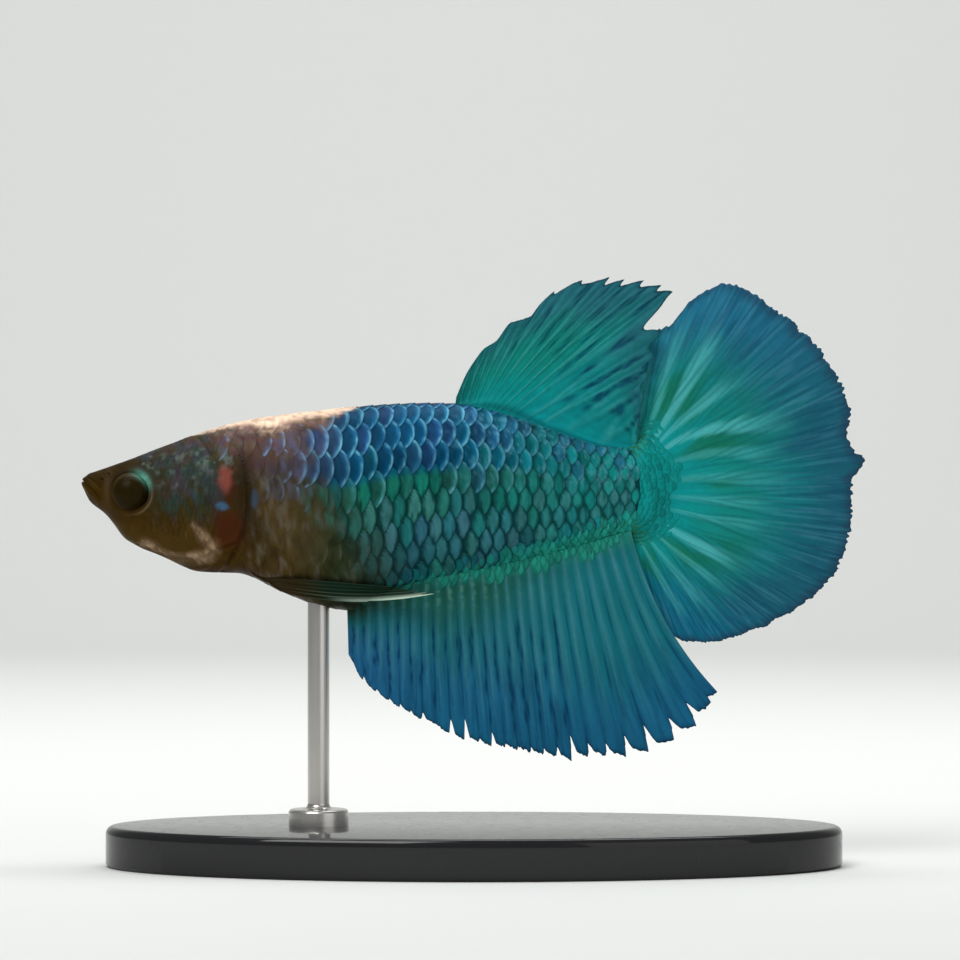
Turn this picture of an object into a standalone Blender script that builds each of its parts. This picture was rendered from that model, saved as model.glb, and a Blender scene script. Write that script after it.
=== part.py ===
"""A female half-moon betta fish, life size, as a still museum model on a plain display stand.

The frame: +Z is up, the fish looks along -X and shows its left side to -Y. The origin is on the
underside of the stand's base, at its middle. Every size below is in millimetres. MM turns them
into Blender's metres where a mesh is made.

The body is one smooth form, worked out from its top line, bottom line and half width. Thin cuts
part it into head, jaw, gill covers, trunk and tail stalk. Each fin is one sheet of rays.
"""

import math

import bmesh
import bpy
import numpy as np

MM = 0.001
GAP = 0.3  # the space left between pieces that meet

# ---- Body: (x, value) along the fish --------------------------------------------------------
SNOUT_X = -28.8
STALK_END_X = 13.4
TOP_LINE = [
    (SNOUT_X, 28.7), (-27.6, 29.05), (-25.2, 29.9), (-22.0, 31.1), (-18.0, 32.45), (-15.0, 33.1),
    (-9.0, 33.75), (-3.5, 34.05), (-1.0, 34.0), (2.0, 33.45), (6.7, 31.9), (9.5, 31.1),
    (STALK_END_X, 30.7),
]
BOTTOM_LINE = [
    (SNOUT_X, 27.6), (-28.2, 26.7), (-27.0, 25.7), (-25.4, 23.8), (-22.8, 22.6), (-20.0, 21.5),
    (-17.4, 21.4), (-14.0, 19.9), (-11.2, 18.9), (-9.2, 18.6), (-7.2, 19.5), (-5.0, 20.4),
    (1.5, 21.7), (6.7, 22.9), (11.9, 24.3), (STALK_END_X, 24.6),
]
HALF_WIDTH = [
    (SNOUT_X, 1.2), (-27.0, 1.9), (-25.0, 2.5), (-22.0, 3.1), (-18.5, 3.65), (-14.5, 3.95),
    (-9.5, 4.1), (-3.0, 3.7), (3.0, 2.9), (9.0, 2.0), (STALK_END_X, 1.3),
]
# Power of the sine in the cross section: 1 is an ellipse, less is squarer, more is keeled.
BACK_POWER = [(SNOUT_X, 0.8), (-22.0, 0.8), (-12.0, 0.95), (0.0, 1.1), (STALK_END_X, 1.3)]
BELLY_POWER = [(SNOUT_X, 1.0), (-20.0, 1.0), (-10.0, 0.9), (0.0, 1.15), (STALK_END_X, 1.3)]
SNOUT_ROUND = 0.7  # length over which the snout closes
STALK_ROUND = 1.5  # length over which the tail stalk closes
BODY_SIDES, BODY_RINGS = 28, 34

# ---- Cuts in the body -----------------------------------------------------------------------
GILL_ARC_X, GILL_ARC_Z, GILL_ARC_RADIUS = -24.5, 27.0, 8.0  # rear edge of the head
STALK_CUT_X = 6.5  # front of the tail stalk
MOUTH_CORNER = (-26.9, 26.9)
THROAT = (-25.4, 23.9)
COVER_X, COVER_Z = -18.3, 26.3  # middle of the gill cover's oval
COVER_LENGTH, COVER_HEIGHT, COVER_LEAN = 6.4, 8.2, 12.0  # the lean is in degrees
COVER_INNER_Y = 2.0  # how far from the middle plane the covers reach in

# ---- Eyes -----------------------------------------------------------------------------------
EYE_X, EYE_Z, EYE_RADIUS = -25.05, 27.4, 1.45
EYE_DEPTH = 0.8  # its radius across the head, as a share of the others
EYE_BULGE = 0.4  # how far the eye stands out of the head

# ---- Fins: u runs from the first ray to the last, 0 to 1, and v from root to tip --------------
FIN_THICK = 0.5
PLEAT_HEIGHT = 0.12  # how far the rays stand to one side of the sheet's middle
DORSAL_RAYS = 14
DORSAL_BASE = (-1.4, 11.9)
DORSAL_ROOTS = [  # share of the base that the roots of the rays up to u take
    (0.0, 0.0), (0.17, 0.09), (0.48, 0.17), (0.65, 0.23), (0.75, 0.3), (0.82, 0.36), (0.9, 0.48), (1.0, 1.0),
]
DORSAL_TIP_X = [
    (0.0, -0.8), (0.1, 0.8), (0.23, 3.1), (0.38, 6.1), (0.54, 9.6), (0.65, 12.2), (0.77, 14.7),
    (0.846, 13.5), (0.92, 12.8), (1.0, 12.0),
]
DORSAL_TIP_Z = [
    (0.0, 35.1), (0.1, 37.6), (0.23, 39.6), (0.38, 42.1), (0.54, 43.2), (0.65, 43.0), (0.77, 42.2),
    (0.846, 38.8), (0.92, 36.2), (1.0, 32.3),
]
DORSAL_SPLIT, DORSAL_SPLIT_WIDTH, DORSAL_SPLIT_DEPTH = 0.808, 0.02, 0.22  # a tear in the rear part
DORSAL_BOW = 1.4  # how far the middle rays bend back
DORSAL_NOTCH = 0.08  # how far the edge draws in between two rays, as a share of the ray
DORSAL_SWEEP = 1.1  # the rear edge lies this far to the left, beside the tail fin

ANAL_RAYS = 24
ANAL_BASE = (-9.3, 11.1)
ANAL_TIP_X = [
    (0.0, -9.2), (0.06, -8.1), (0.13, -6.4), (0.25, -4.0), (0.41, 0.2), (0.55, 3.5), (0.68, 6.7),
    (0.78, 9.8), (0.86, 13.0), (0.91, 15.6), (0.957, 17.0), (1.0, 17.8),
]
ANAL_TIP_Z = [
    (0.0, 15.5), (0.06, 13.6), (0.13, 12.2), (0.25, 10.9), (0.41, 9.0), (0.55, 8.4), (0.68, 8.0),
    (0.78, 8.1), (0.86, 8.6), (0.91, 9.4), (0.957, 10.8), (1.0, 12.8),
]
ANAL_BOW = [(0.0, 0.0), (0.8, 0.2), (0.9, 0.9), (1.0, 1.8)]  # how far a ray's middle is pushed forward
ANAL_NOTCH = 0.06
ANAL_SWEEP = 1.3

CAUDAL_RAYS = 24
FAN_X, FAN_Z = 12.5, 27.6  # where the tail rays would meet
FAN_FIRST, FAN_LAST = -3.0, 176.0  # degrees from straight up, turning to the rear
FAN_RADIUS = [
    (FAN_FIRST, 11.4), (9.0, 12.4), (14.5, 14.7), (23.5, 16.6), (50.0, 16.7), (68.0, 16.6), (76.0, 15.7),
    (82.0, 15.6), (102.0, 15.6), (114.0, 15.5), (124.0, 14.7), (139.0, 13.6), (156.0, 12.4), (168.0, 11.3),
    (FAN_LAST, 9.2),
]
FAN_POINT, FAN_POINT_WIDTH, FAN_POINT_LENGTH = 82.5, 4.0, 1.0  # the small point on the rear edge
CAUDAL_ROOT_X, CAUDAL_ROOT_BULGE, CAUDAL_ROOT_HALF = 12.9, 0.85, 3.0
CAUDAL_NOTCH = 0.025
CAUDAL_SWEEP = 0.6  # the first and last rays lie this far to the right, behind the other fins' edges
CAUDAL_WAVE = 0.35  # height of the slow wave across the fan

PELVIC_RAYS = 4
PELVIC_ROOT = ((-15.1, 20.5), (-14.6, 21.2))  # (x, z) of the first and last ray
PELVIC_TIP = ((-2.9, 20.0), (-6.0, 20.5))
PELVIC_BOW = (-1.5, 0.1)
PELVIC_LEAST_Y = 1.3
PELVIC_NOTCH = 0.05

PECTORAL_RAYS = 7
PECTORAL_ROOT = ((-15.4, 26.0), (-15.6, 24.5))
PECTORAL_REACH = 5.4
PECTORAL_ANGLES = (22.0, -38.0)  # degrees above the horizontal of the first and last ray
PECTORAL_ROUND = 0.2  # how much shorter the first and last rays are than the middle one
PECTORAL_FLARE = 1.7  # how far the tips stand off the flank
PECTORAL_NOTCH = 0.04

SIDE_FIN_STANDOFF = 0.6  # middle of a side fin's sheet to the skin under it

# ---- Stand ----------------------------------------------------------------------------------
BASE_LENGTH, BASE_WIDTH, BASE_THICK, BASE_ROUND = 54.0, 28.0, 3.0, 0.6
ROD_X, ROD_RADIUS = -11.4, 0.8
ROD_IN_BELLY = 1.4
ROD_IN_BASE = 1.6
FERRULE_RADIUS, FERRULE_THICK = 2.2, 0.9

COLOURS = {  # base colour, roughness, metallic
    "skin_head": ((0.085, 0.058, 0.03), 0.45, 0.0),
    "skin_body": ((0.01, 0.12, 0.13), 0.35, 0.3),
    "gill_cover": ((0.09, 0.06, 0.04), 0.4, 0.1),
    "eye": ((0.02, 0.02, 0.015), 0.08, 0.0),
    "fin_teal": ((0.008, 0.14, 0.17), 0.45, 0.1),
    "fin_dark": ((0.03, 0.04, 0.025), 0.5, 0.0),
    "fin_clear": ((0.35, 0.36, 0.3), 0.4, 0.0),
    "stand_base": ((0.03, 0.03, 0.032), 0.4, 0.0),
    "stand_metal": ((0.6, 0.58, 0.55), 0.3, 1.0),
}


def smooth_curve(knots):
    """The function through (position, value) knots that is smooth and doesn't overshoot between them."""
    at, value = np.array(knots, float).T
    slope = np.diff(value) / np.diff(at)
    same_way = slope[1:] * slope[:-1] > 0
    total = np.where(same_way, slope[1:] + slope[:-1], 1.0)
    inner = np.where(same_way, 2 * slope[1:] * slope[:-1] / total, 0.0)
    tangent = np.concatenate([slope[:1], inner, slope[-1:]])

    def curve(x):
        x = np.clip(x, at[0], at[-1])
        i = np.clip(np.searchsorted(at, x) - 1, 0, len(at) - 2)
        width = at[i + 1] - at[i]
        t = (x - at[i]) / width
        start = value[i] * (1 + 2 * t) * (1 - t) ** 2 + tangent[i] * width * t * (1 - t) ** 2
        end = value[i + 1] * (3 - 2 * t) * t**2 - tangent[i + 1] * width * (1 - t) * t**2
        return start + end

    return curve


top_line, bottom_line, half_width = map(smooth_curve, (TOP_LINE, BOTTOM_LINE, HALF_WIDTH))
back_power, belly_power = map(smooth_curve, (BACK_POWER, BELLY_POWER))


def closing(x):
    """1 along the body, falling to 0 over the rounded ends."""
    ahead = min(max(x - SNOUT_X, 0.0) / SNOUT_ROUND, 1.0)
    behind = min(max(STALK_END_X - x, 0.0) / STALK_ROUND, 1.0)
    return math.sqrt(1 - (1 - ahead) ** 2) * math.sqrt(1 - (1 - behind) ** 2)


def section(x):
    """Middle height, half height and half width of the body at x."""
    top, bottom = float(top_line(x)), float(bottom_line(x))
    return (top + bottom) / 2, (top - bottom) / 2 * closing(x), float(half_width(x)) * closing(x)


def body_point(x, angle):
    """The skin at x, where the angle turns from the back over the right flank to the belly."""
    middle, half, wide = section(x)
    power = float((back_power if math.cos(angle) > 0 else belly_power)(x))
    side = math.sin(angle)
    return x, math.copysign(wide * abs(side) ** power, side), middle + half * math.cos(angle)


def flank_y(x, z):
    """How far the skin is from the middle plane at this length and height."""
    middle, half, _ = section(x)
    height = max(-1.0, min(1.0, (z - middle) / half)) if half > 0 else 1.0
    return body_point(x, math.acos(height))[1]


def material(name):
    made = bpy.data.materials.get(name)
    if made:
        return made
    colour, roughness, metallic = COLOURS[name]
    made = bpy.data.materials.new(name)
    made.use_nodes = True
    made.diffuse_color = (*colour, 1.0)
    shader = made.node_tree.nodes["Principled BSDF"]
    shader.inputs["Base Color"].default_value = (*colour, 1.0)
    shader.inputs["Roughness"].default_value = roughness
    shader.inputs["Metallic"].default_value = metallic
    return made


def clear_scene():
    for obj in list(bpy.data.objects):
        bpy.data.objects.remove(obj, do_unlink=True)


def new_collection(name):
    made = bpy.data.collections.new(name)
    bpy.context.scene.collection.children.link(made)
    return made


def empty(name, collection):
    made = bpy.data.objects.new(name, None)
    collection.objects.link(made)
    return made


def face_outward(bm):
    bm.normal_update()
    bmesh.ops.recalc_face_normals(bm, faces=bm.faces)


def mesh_object(name, bm, collection, colour=None, parent=None, origin=(0.0, 0.0, 0.0)):
    """An object from a bmesh in millimetres, with its origin where asked. The bmesh is freed."""
    bmesh.ops.translate(bm, verts=bm.verts, vec=[-c for c in origin])
    bmesh.ops.scale(bm, verts=bm.verts, vec=(MM, MM, MM))
    mesh = bpy.data.meshes.new(name)
    bm.to_mesh(mesh)
    bm.free()
    made = bpy.data.objects.new(name, mesh)
    made.location = [c * MM for c in origin]
    made.parent = parent
    collection.objects.link(made)
    if colour:
        mesh.materials.append(material(colour))
    return made


def smooth(obj, angle=math.radians(40)):
    obj.data.shade_smooth()
    obj.data.set_sharp_from_angle(angle=angle)


def as_cutter(obj):
    obj.hide_render = True
    obj.display_type = "WIRE"
    return obj


def boolean(obj, operation, cutter):
    step = obj.modifiers.new(f"{operation.lower()} {cutter.name}", "BOOLEAN")
    step.operation = operation
    step.object = cutter
    step.solver = "EXACT"


# ---- Cutters ----------------------------------------------------------------------------------
def disc_cutter(name, x, z, radius_x, radius_z, lean, y_from, y_to, collection):
    """An oval prism along Y, leaning back by some degrees."""
    bm = bmesh.new()
    made = bmesh.ops.create_cone(
        bm, cap_ends=True, segments=36, radius1=1.0, radius2=1.0, depth=abs(y_to - y_from)
    )
    turned = [v.co.copy() for v in made["verts"]]
    lean = math.radians(lean)
    for vert, co in zip(made["verts"], turned):
        along, up = co.x * radius_x, co.y * radius_z
        vert.co = (
            x + along * math.cos(lean) + up * math.sin(lean),
            (y_from + y_to) / 2 + co.z,
            z + up * math.cos(lean) - along * math.sin(lean),
        )
    face_outward(bm)
    return as_cutter(mesh_object(name, bm, collection))


def box_cutter(name, low, high, collection):
    bm = bmesh.new()
    bmesh.ops.create_cube(bm, size=1.0)
    for vert in bm.verts:
        vert.co = [lo + (c + 0.5) * (hi - lo) for c, lo, hi in zip(vert.co, low, high)]
    return as_cutter(mesh_object(name, bm, collection))


def prism_cutter(name, outline, half_depth, collection):
    """A prism along Y with this (x, z) outline, from a filled 2D curve that is made a mesh."""
    curve = bpy.data.curves.new(name, "CURVE")
    curve.dimensions, curve.fill_mode, curve.extrude = "2D", "BOTH", half_depth * MM
    spline = curve.splines.new("POLY")
    spline.points.add(len(outline) - 1)
    for point, (x, z) in zip(spline.points, outline):
        point.co = (x * MM, z * MM, 0.0, 1.0)
    spline.use_cyclic_u = True
    flat = bpy.data.objects.new(name + "_outline", curve)
    flat.rotation_euler.x = math.pi / 2
    collection.objects.link(flat)
    bpy.context.view_layer.update()
    graph = bpy.context.evaluated_depsgraph_get()
    mesh = bpy.data.meshes.new_from_object(flat.evaluated_get(graph))
    mesh.transform(flat.matrix_world)
    bpy.data.objects.remove(flat, do_unlink=True)
    bm = bmesh.new()
    bm.from_mesh(mesh)
    bmesh.ops.remove_doubles(bm, verts=bm.verts, dist=1e-6)
    face_outward(bm)
    bm.to_mesh(mesh)
    bm.free()
    made = bpy.data.objects.new(name, mesh)
    collection.objects.link(made)
    return as_cutter(made)


def eye_centre(side):
    reach = flank_y(EYE_X, EYE_Z) + EYE_BULGE - EYE_RADIUS * EYE_DEPTH
    return EYE_X, side * reach, EYE_Z


def eye_bmesh(side, grow, segments, rings):
    """An eyeball, flattened across the head, or its socket when it is grown by the gap."""
    bm = bmesh.new()
    bmesh.ops.create_uvsphere(bm, u_segments=segments, v_segments=rings, radius=1.0)
    size = (EYE_RADIUS + grow, EYE_RADIUS * EYE_DEPTH + grow, EYE_RADIUS + grow)
    bmesh.ops.scale(bm, verts=bm.verts, vec=size)
    bmesh.ops.translate(bm, verts=bm.verts, vec=eye_centre(side))
    return bm


def gill_cutters(side, name, collection):
    """The oval that a gill cover fills, and the same with the gap round it."""
    zones = []
    for kind, grow in (("zone", 0.0), ("clear", GAP)):
        inner, outer = (COVER_INNER_Y - grow) * side, 6.0 * side
        radii = (COVER_LENGTH / 2 + grow, COVER_HEIGHT / 2 + grow)
        label = f"gill_{kind}_{name}"
        zones.append(
            disc_cutter(
                label, COVER_X, COVER_Z, *radii, COVER_LEAN, min(inner, outer), max(inner, outer), collection
            )
        )
    return zones


def jaw_cutters(collection):
    """What the lower jaw fills, and the same moved up and back by the gap."""
    outline = [(SNOUT_X - 1.5, 28.3), (SNOUT_X, 28.15), MOUTH_CORNER, THROAT, (-25.8, 22.0), (-30.5, 22.0)]
    zones = []
    for kind, shift in (("zone", 0.0), ("clear", GAP)):
        moved = [(x + shift * 0.76, z + shift * 0.64) for x, z in outline]
        zones.append(prism_cutter(f"jaw_{kind}", moved, 6.0, collection))
    return zones


# ---- The fish ---------------------------------------------------------------------------------
def body_bmesh():
    """The whole body: a sphere with its poles at the snout and the tail stalk, reshaped ring by ring."""
    bm = bmesh.new()
    bmesh.ops.create_uvsphere(bm, u_segments=BODY_SIDES, v_segments=BODY_RINGS, radius=1.0)
    length = STALK_END_X - SNOUT_X
    for vert in bm.verts:
        share = math.acos(max(-1.0, min(1.0, vert.co.z))) / math.pi
        share -= 0.95 * math.sin(2 * math.pi * share) / (2 * math.pi)  # closer rings at both ends
        vert.co = body_point(SNOUT_X + length * share, math.atan2(vert.co.y, vert.co.x))
    face_outward(bm)
    return bm


def body_parts(fish, parts, cutters):
    """Head, jaw, gill covers, trunk and tail stalk: the body's one mesh, each with its own cuts."""
    far = 60.0
    arc = (GILL_ARC_X, GILL_ARC_Z)
    head_zone = disc_cutter(
        "head_zone", *arc, GILL_ARC_RADIUS, GILL_ARC_RADIUS, 0.0, -8.0, 8.0, cutters
    )
    head_clear = disc_cutter(
        "head_clear", *arc, GILL_ARC_RADIUS + GAP, GILL_ARC_RADIUS + GAP, 0.0, -8.0, 8.0, cutters
    )
    trunk_zone = box_cutter("trunk_zone", (-far, -far, 0.0), (STALK_CUT_X, far, far), cutters)
    stalk_zone = box_cutter("stalk_zone", (STALK_CUT_X + GAP, -far, 0.0), (far, far, far), cutters)
    jaw_zone, jaw_clear = jaw_cutters(cutters)
    rod_top = float(bottom_line(ROD_X)) + ROD_IN_BELLY
    rod_room = ROD_RADIUS + GAP
    bm = bmesh.new()
    bmesh.ops.create_cone(
        bm, cap_ends=True, segments=24, radius1=rod_room, radius2=rod_room, depth=2 * (ROD_IN_BELLY + 1.0)
    )
    bmesh.ops.translate(bm, verts=bm.verts, vec=(ROD_X, 0.0, rod_top + GAP - ROD_IN_BELLY - 1.0))
    rod_clear = as_cutter(mesh_object("rod_clear", bm, cutters))

    steps = {
        "head": [("INTERSECT", head_zone), ("DIFFERENCE", jaw_clear)],
        "jaw_lower": [("INTERSECT", jaw_zone)],
        "trunk": [("INTERSECT", trunk_zone), ("DIFFERENCE", head_clear), ("DIFFERENCE", rod_clear)],
        "tail_stalk": [("INTERSECT", stalk_zone)],
    }
    colours = {"head": "skin_head", "jaw_lower": "skin_head"}
    for side, name in ((-1, "left"), (1, "right")):
        zone, clear = gill_cutters(side, name, cutters)
        steps["head"].append(("DIFFERENCE", clear))
        steps[f"gill_cover_{name}"] = [("INTERSECT", head_zone), ("INTERSECT", zone)]
        colours[f"gill_cover_{name}"] = "gill_cover"
        socket = mesh_object(f"eye_socket_{name}", eye_bmesh(side, GAP, 20, 12), cutters)
        steps["head"].append(("DIFFERENCE", as_cutter(socket)))
    for name, cuts in steps.items():
        made = mesh_object(name, body_bmesh(), parts, colours.get(name, "skin_body"), fish)
        for operation, cutter in cuts:
            boolean(made, operation, cutter)
        smooth(made)


def eyes(fish, parts):
    for side, name in ((-1, "left"), (1, "right")):
        eyeball = eye_bmesh(side, 0.0, 18, 10)
        smooth(mesh_object(f"eye_{name}", eyeball, parts, "eye", fish, eye_centre(side)))


# ---- Fins -------------------------------------------------------------------------------------
def tip_reach(u, rays, notch):
    """How far the sheet reaches at u: 1 at a ray, and 1 - notch between two rays."""
    return 1 - notch * (1 - math.cos(2 * math.pi * u * (rays - 1))) / 2


def pleat(u, v, rays):
    """The sheet's fold to one side at each ray and to the other between them."""
    return PLEAT_HEIGHT * math.cos(2 * math.pi * u * (rays - 1)) * min(1.0, 4 * v)


def along_ray(root, tip, bow, v):
    """(x, z) at v on a ray from root to tip, its middle pushed aside by bow."""
    (rx, rz), (tx, tz) = root, tip
    length = math.hypot(tx - rx, tz - rz) or 1.0
    push = bow * 4 * v * (1 - v) / 2
    across_x, across_z = (tz - rz) / length, -(tx - rx) / length
    return rx + (tx - rx) * v + across_x * push, rz + (tz - rz) * v + across_z * push


dorsal_roots, dorsal_tip_x, dorsal_tip_z = map(smooth_curve, (DORSAL_ROOTS, DORSAL_TIP_X, DORSAL_TIP_Z))
anal_tip_x, anal_tip_z, anal_bow = map(smooth_curve, (ANAL_TIP_X, ANAL_TIP_Z, ANAL_BOW))
fan_radius = smooth_curve(FAN_RADIUS)


def dorsal_point(u, v):
    x = DORSAL_BASE[0] + (DORSAL_BASE[1] - DORSAL_BASE[0]) * float(dorsal_roots(u))
    root = (x, float(top_line(x)) + GAP)
    split = DORSAL_SPLIT_DEPTH * math.exp(-(((u - DORSAL_SPLIT) / DORSAL_SPLIT_WIDTH) ** 2))
    reach = v * tip_reach(u, DORSAL_RAYS, DORSAL_NOTCH) * (1 - split)
    tip = (float(dorsal_tip_x(u)), float(dorsal_tip_z(u)))
    along, up = along_ray(root, tip, -DORSAL_BOW * u * (1 - u), reach)
    return along, -DORSAL_SWEEP * u**2 * v + pleat(u, v, DORSAL_RAYS), up


def anal_point(u, v):
    x = ANAL_BASE[0] + (ANAL_BASE[1] - ANAL_BASE[0]) * u
    root = (x, float(bottom_line(x)) - GAP)
    tip = (float(anal_tip_x(u)), float(anal_tip_z(u)))
    along, up = along_ray(root, tip, float(anal_bow(u)), v * tip_reach(u, ANAL_RAYS, ANAL_NOTCH))
    return along, -ANAL_SWEEP * u**4 * v + pleat(u, v, ANAL_RAYS), up


def caudal_point(u, v):
    degrees = FAN_FIRST + (FAN_LAST - FAN_FIRST) * u
    radius = float(fan_radius(degrees))
    radius += FAN_POINT_LENGTH * math.exp(-(((degrees - FAN_POINT) / FAN_POINT_WIDTH) ** 2))
    turn = math.radians(degrees)
    root = (
        CAUDAL_ROOT_X + CAUDAL_ROOT_BULGE * math.sin(math.pi * u),
        FAN_Z + CAUDAL_ROOT_HALF * math.cos(math.pi * u),
    )
    tip = (FAN_X + radius * math.sin(turn), FAN_Z + radius * math.cos(turn))
    along, up = along_ray(root, tip, 0.0, v * tip_reach(u, CAUDAL_RAYS, CAUDAL_NOTCH))
    edge = abs(2 * u - 1) ** 3
    wave = CAUDAL_WAVE * math.sin(3 * math.pi * u) * v**2 * (1 - edge)
    return along, CAUDAL_SWEEP * edge * min(1.0, 1.6 * v) + wave + pleat(u, v, CAUDAL_RAYS), up


def pelvic_point(side):
    def point(u, v):
        root, tip = ([a + (b - a) * u for a, b in zip(*ends)] for ends in (PELVIC_ROOT, PELVIC_TIP))
        bow = PELVIC_BOW[0] + (PELVIC_BOW[1] - PELVIC_BOW[0]) * u
        x, z = along_ray(root, tip, -bow, v * tip_reach(u, PELVIC_RAYS, PELVIC_NOTCH))
        return x, side * (max(flank_y(x, z), PELVIC_LEAST_Y) + SIDE_FIN_STANDOFF), z

    return point


def pectoral_point(side):
    def point(u, v):
        root = [a + (b - a) * u for a, b in zip(*PECTORAL_ROOT)]
        turn = math.radians(PECTORAL_ANGLES[0] + (PECTORAL_ANGLES[1] - PECTORAL_ANGLES[0]) * u)
        rounding = 1 - PECTORAL_ROUND * (1 - math.sin(math.pi * u))
        reach = PECTORAL_REACH * rounding * v * tip_reach(u, PECTORAL_RAYS, PECTORAL_NOTCH)
        x, z = root[0] + reach * math.cos(turn), root[1] + reach * math.sin(turn)
        return x, side * (flank_y(x, z) + SIDE_FIN_STANDOFF + PECTORAL_FLARE * v**1.5), z

    return point


def fin(name, point, rays, steps, colour, fish, parts):
    """A sheet with a column at each ray and between each two, thickened both ways."""
    bm = bmesh.new()
    bmesh.ops.create_grid(bm, x_segments=2 * (rays - 1), y_segments=steps, size=0.5)
    for vert in bm.verts:
        vert.co = point(vert.co.x + 0.5, vert.co.y + 0.5)
    made = mesh_object(name, bm, parts, colour, fish, point(0.5, 0.0))
    solid = made.modifiers.new("thickness", "SOLIDIFY")
    solid.thickness = FIN_THICK * MM
    solid.offset = 0.0
    smooth(made)


def fins(fish, parts):
    fin("dorsal_fin", dorsal_point, DORSAL_RAYS, 6, "fin_teal", fish, parts)
    fin("anal_fin", anal_point, ANAL_RAYS, 5, "fin_teal", fish, parts)
    fin("caudal_fin", caudal_point, CAUDAL_RAYS, 6, "fin_teal", fish, parts)
    for side, name in ((-1, "left"), (1, "right")):
        fin(f"pelvic_fin_{name}", pelvic_point(side), PELVIC_RAYS, 7, "fin_dark", fish, parts)
        fin(f"pectoral_fin_{name}", pectoral_point(side), PECTORAL_RAYS, 4, "fin_clear", fish, parts)


# ---- The stand --------------------------------------------------------------------------------
def stand_base(stand, parts, cutters):
    """An oval slab with a rounded top edge and a blind hole for the rod."""
    bm = bmesh.new()
    bmesh.ops.create_cone(bm, cap_ends=True, segments=56, radius1=0.5, radius2=0.5, depth=1.0)
    bmesh.ops.scale(bm, verts=bm.verts, vec=(BASE_LENGTH, BASE_WIDTH, BASE_THICK))
    bmesh.ops.translate(bm, verts=bm.verts, vec=(0.0, 0.0, BASE_THICK / 2))
    rim = [e for e in bm.edges if all(v.co.z > BASE_THICK * 0.9 for v in e.verts)]
    bmesh.ops.bevel(bm, geom=rim, offset=BASE_ROUND, segments=3, profile=0.5, affect="EDGES")
    made = mesh_object("stand_base", bm, parts, "stand_base", stand)
    depth = ROD_IN_BASE + GAP
    hole = ROD_RADIUS + GAP
    bm = bmesh.new()
    bmesh.ops.create_cone(bm, cap_ends=True, segments=24, radius1=hole, radius2=hole, depth=2 * depth)
    bmesh.ops.translate(bm, verts=bm.verts, vec=(ROD_X, 0.0, BASE_THICK))
    boolean(made, "DIFFERENCE", as_cutter(mesh_object("rod_hole", bm, cutters)))
    smooth(made)


def stand_rod(stand, parts):
    """The rod with its ferrule, turned from one profile that runs down its outer side."""
    foot = BASE_THICK + GAP
    top = float(bottom_line(ROD_X)) + ROD_IN_BELLY
    profile = [
        (0.0, top), (ROD_RADIUS * 0.75, top), (ROD_RADIUS, top - ROD_RADIUS * 0.25),
        (ROD_RADIUS, foot + FERRULE_THICK), (FERRULE_RADIUS * 0.8, foot + FERRULE_THICK),
        (FERRULE_RADIUS, foot + FERRULE_THICK * 0.7), (FERRULE_RADIUS, foot), (ROD_RADIUS, foot),
        (ROD_RADIUS, BASE_THICK - ROD_IN_BASE), (0.0, BASE_THICK - ROD_IN_BASE),
    ]
    bm = bmesh.new()
    line = [bm.verts.new((x, 0.0, z)) for x, z in profile]
    for first, second in zip(line, line[1:]):
        bm.edges.new((first, second))
    made = mesh_object("stand_rod", bm, parts, "stand_metal", stand)
    made.location.x = ROD_X * MM
    turn = made.modifiers.new("turned", "SCREW")
    turn.steps = turn.render_steps = 24
    turn.use_merge_vertices = True
    turn.merge_threshold = 0.00001
    smooth(made)


def main():
    clear_scene()
    parts, cutters = new_collection("betta_fish"), new_collection("cutters")
    fish, stand = empty("fish", parts), empty("stand", parts)
    body_parts(fish, parts, cutters)
    eyes(fish, parts)
    fins(fish, parts)
    stand_base(stand, parts, cutters)
    stand_rod(stand, parts)


main()
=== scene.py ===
"""The looks of a female half-moon betta fish on its display stand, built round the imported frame.

One skin replaces the nodes of flesh, and solid scales lie over it. Each fin is a thin sheet with
raised rays that branch towards a frayed edge. Sizes and places are in millimetres in the frame's
own axes: the fish looks along -X, +Z is up, and its left side is at -Y. MM turns them into metres.
Markings are worked out from named colours and places, and the skin and the scales share them.
"""

import math

import bpy
import numpy as np
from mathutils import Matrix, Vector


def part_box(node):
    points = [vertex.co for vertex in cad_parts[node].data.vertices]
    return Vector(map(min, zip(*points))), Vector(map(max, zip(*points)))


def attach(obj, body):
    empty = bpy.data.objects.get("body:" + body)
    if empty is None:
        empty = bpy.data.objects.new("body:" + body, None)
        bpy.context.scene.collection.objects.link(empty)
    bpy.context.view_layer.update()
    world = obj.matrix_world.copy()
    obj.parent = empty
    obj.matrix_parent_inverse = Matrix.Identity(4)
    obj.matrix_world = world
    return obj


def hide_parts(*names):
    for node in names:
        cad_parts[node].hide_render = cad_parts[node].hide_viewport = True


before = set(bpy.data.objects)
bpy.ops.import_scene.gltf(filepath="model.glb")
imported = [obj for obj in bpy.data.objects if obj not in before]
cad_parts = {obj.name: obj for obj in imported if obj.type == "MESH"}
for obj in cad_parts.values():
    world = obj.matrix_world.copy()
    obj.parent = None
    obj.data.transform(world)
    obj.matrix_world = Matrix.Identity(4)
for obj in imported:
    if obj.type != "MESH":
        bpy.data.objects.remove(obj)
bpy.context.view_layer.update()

MM = 0.001
ROOT = "root"
LEFT, RIGHT = -1, 1

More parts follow.
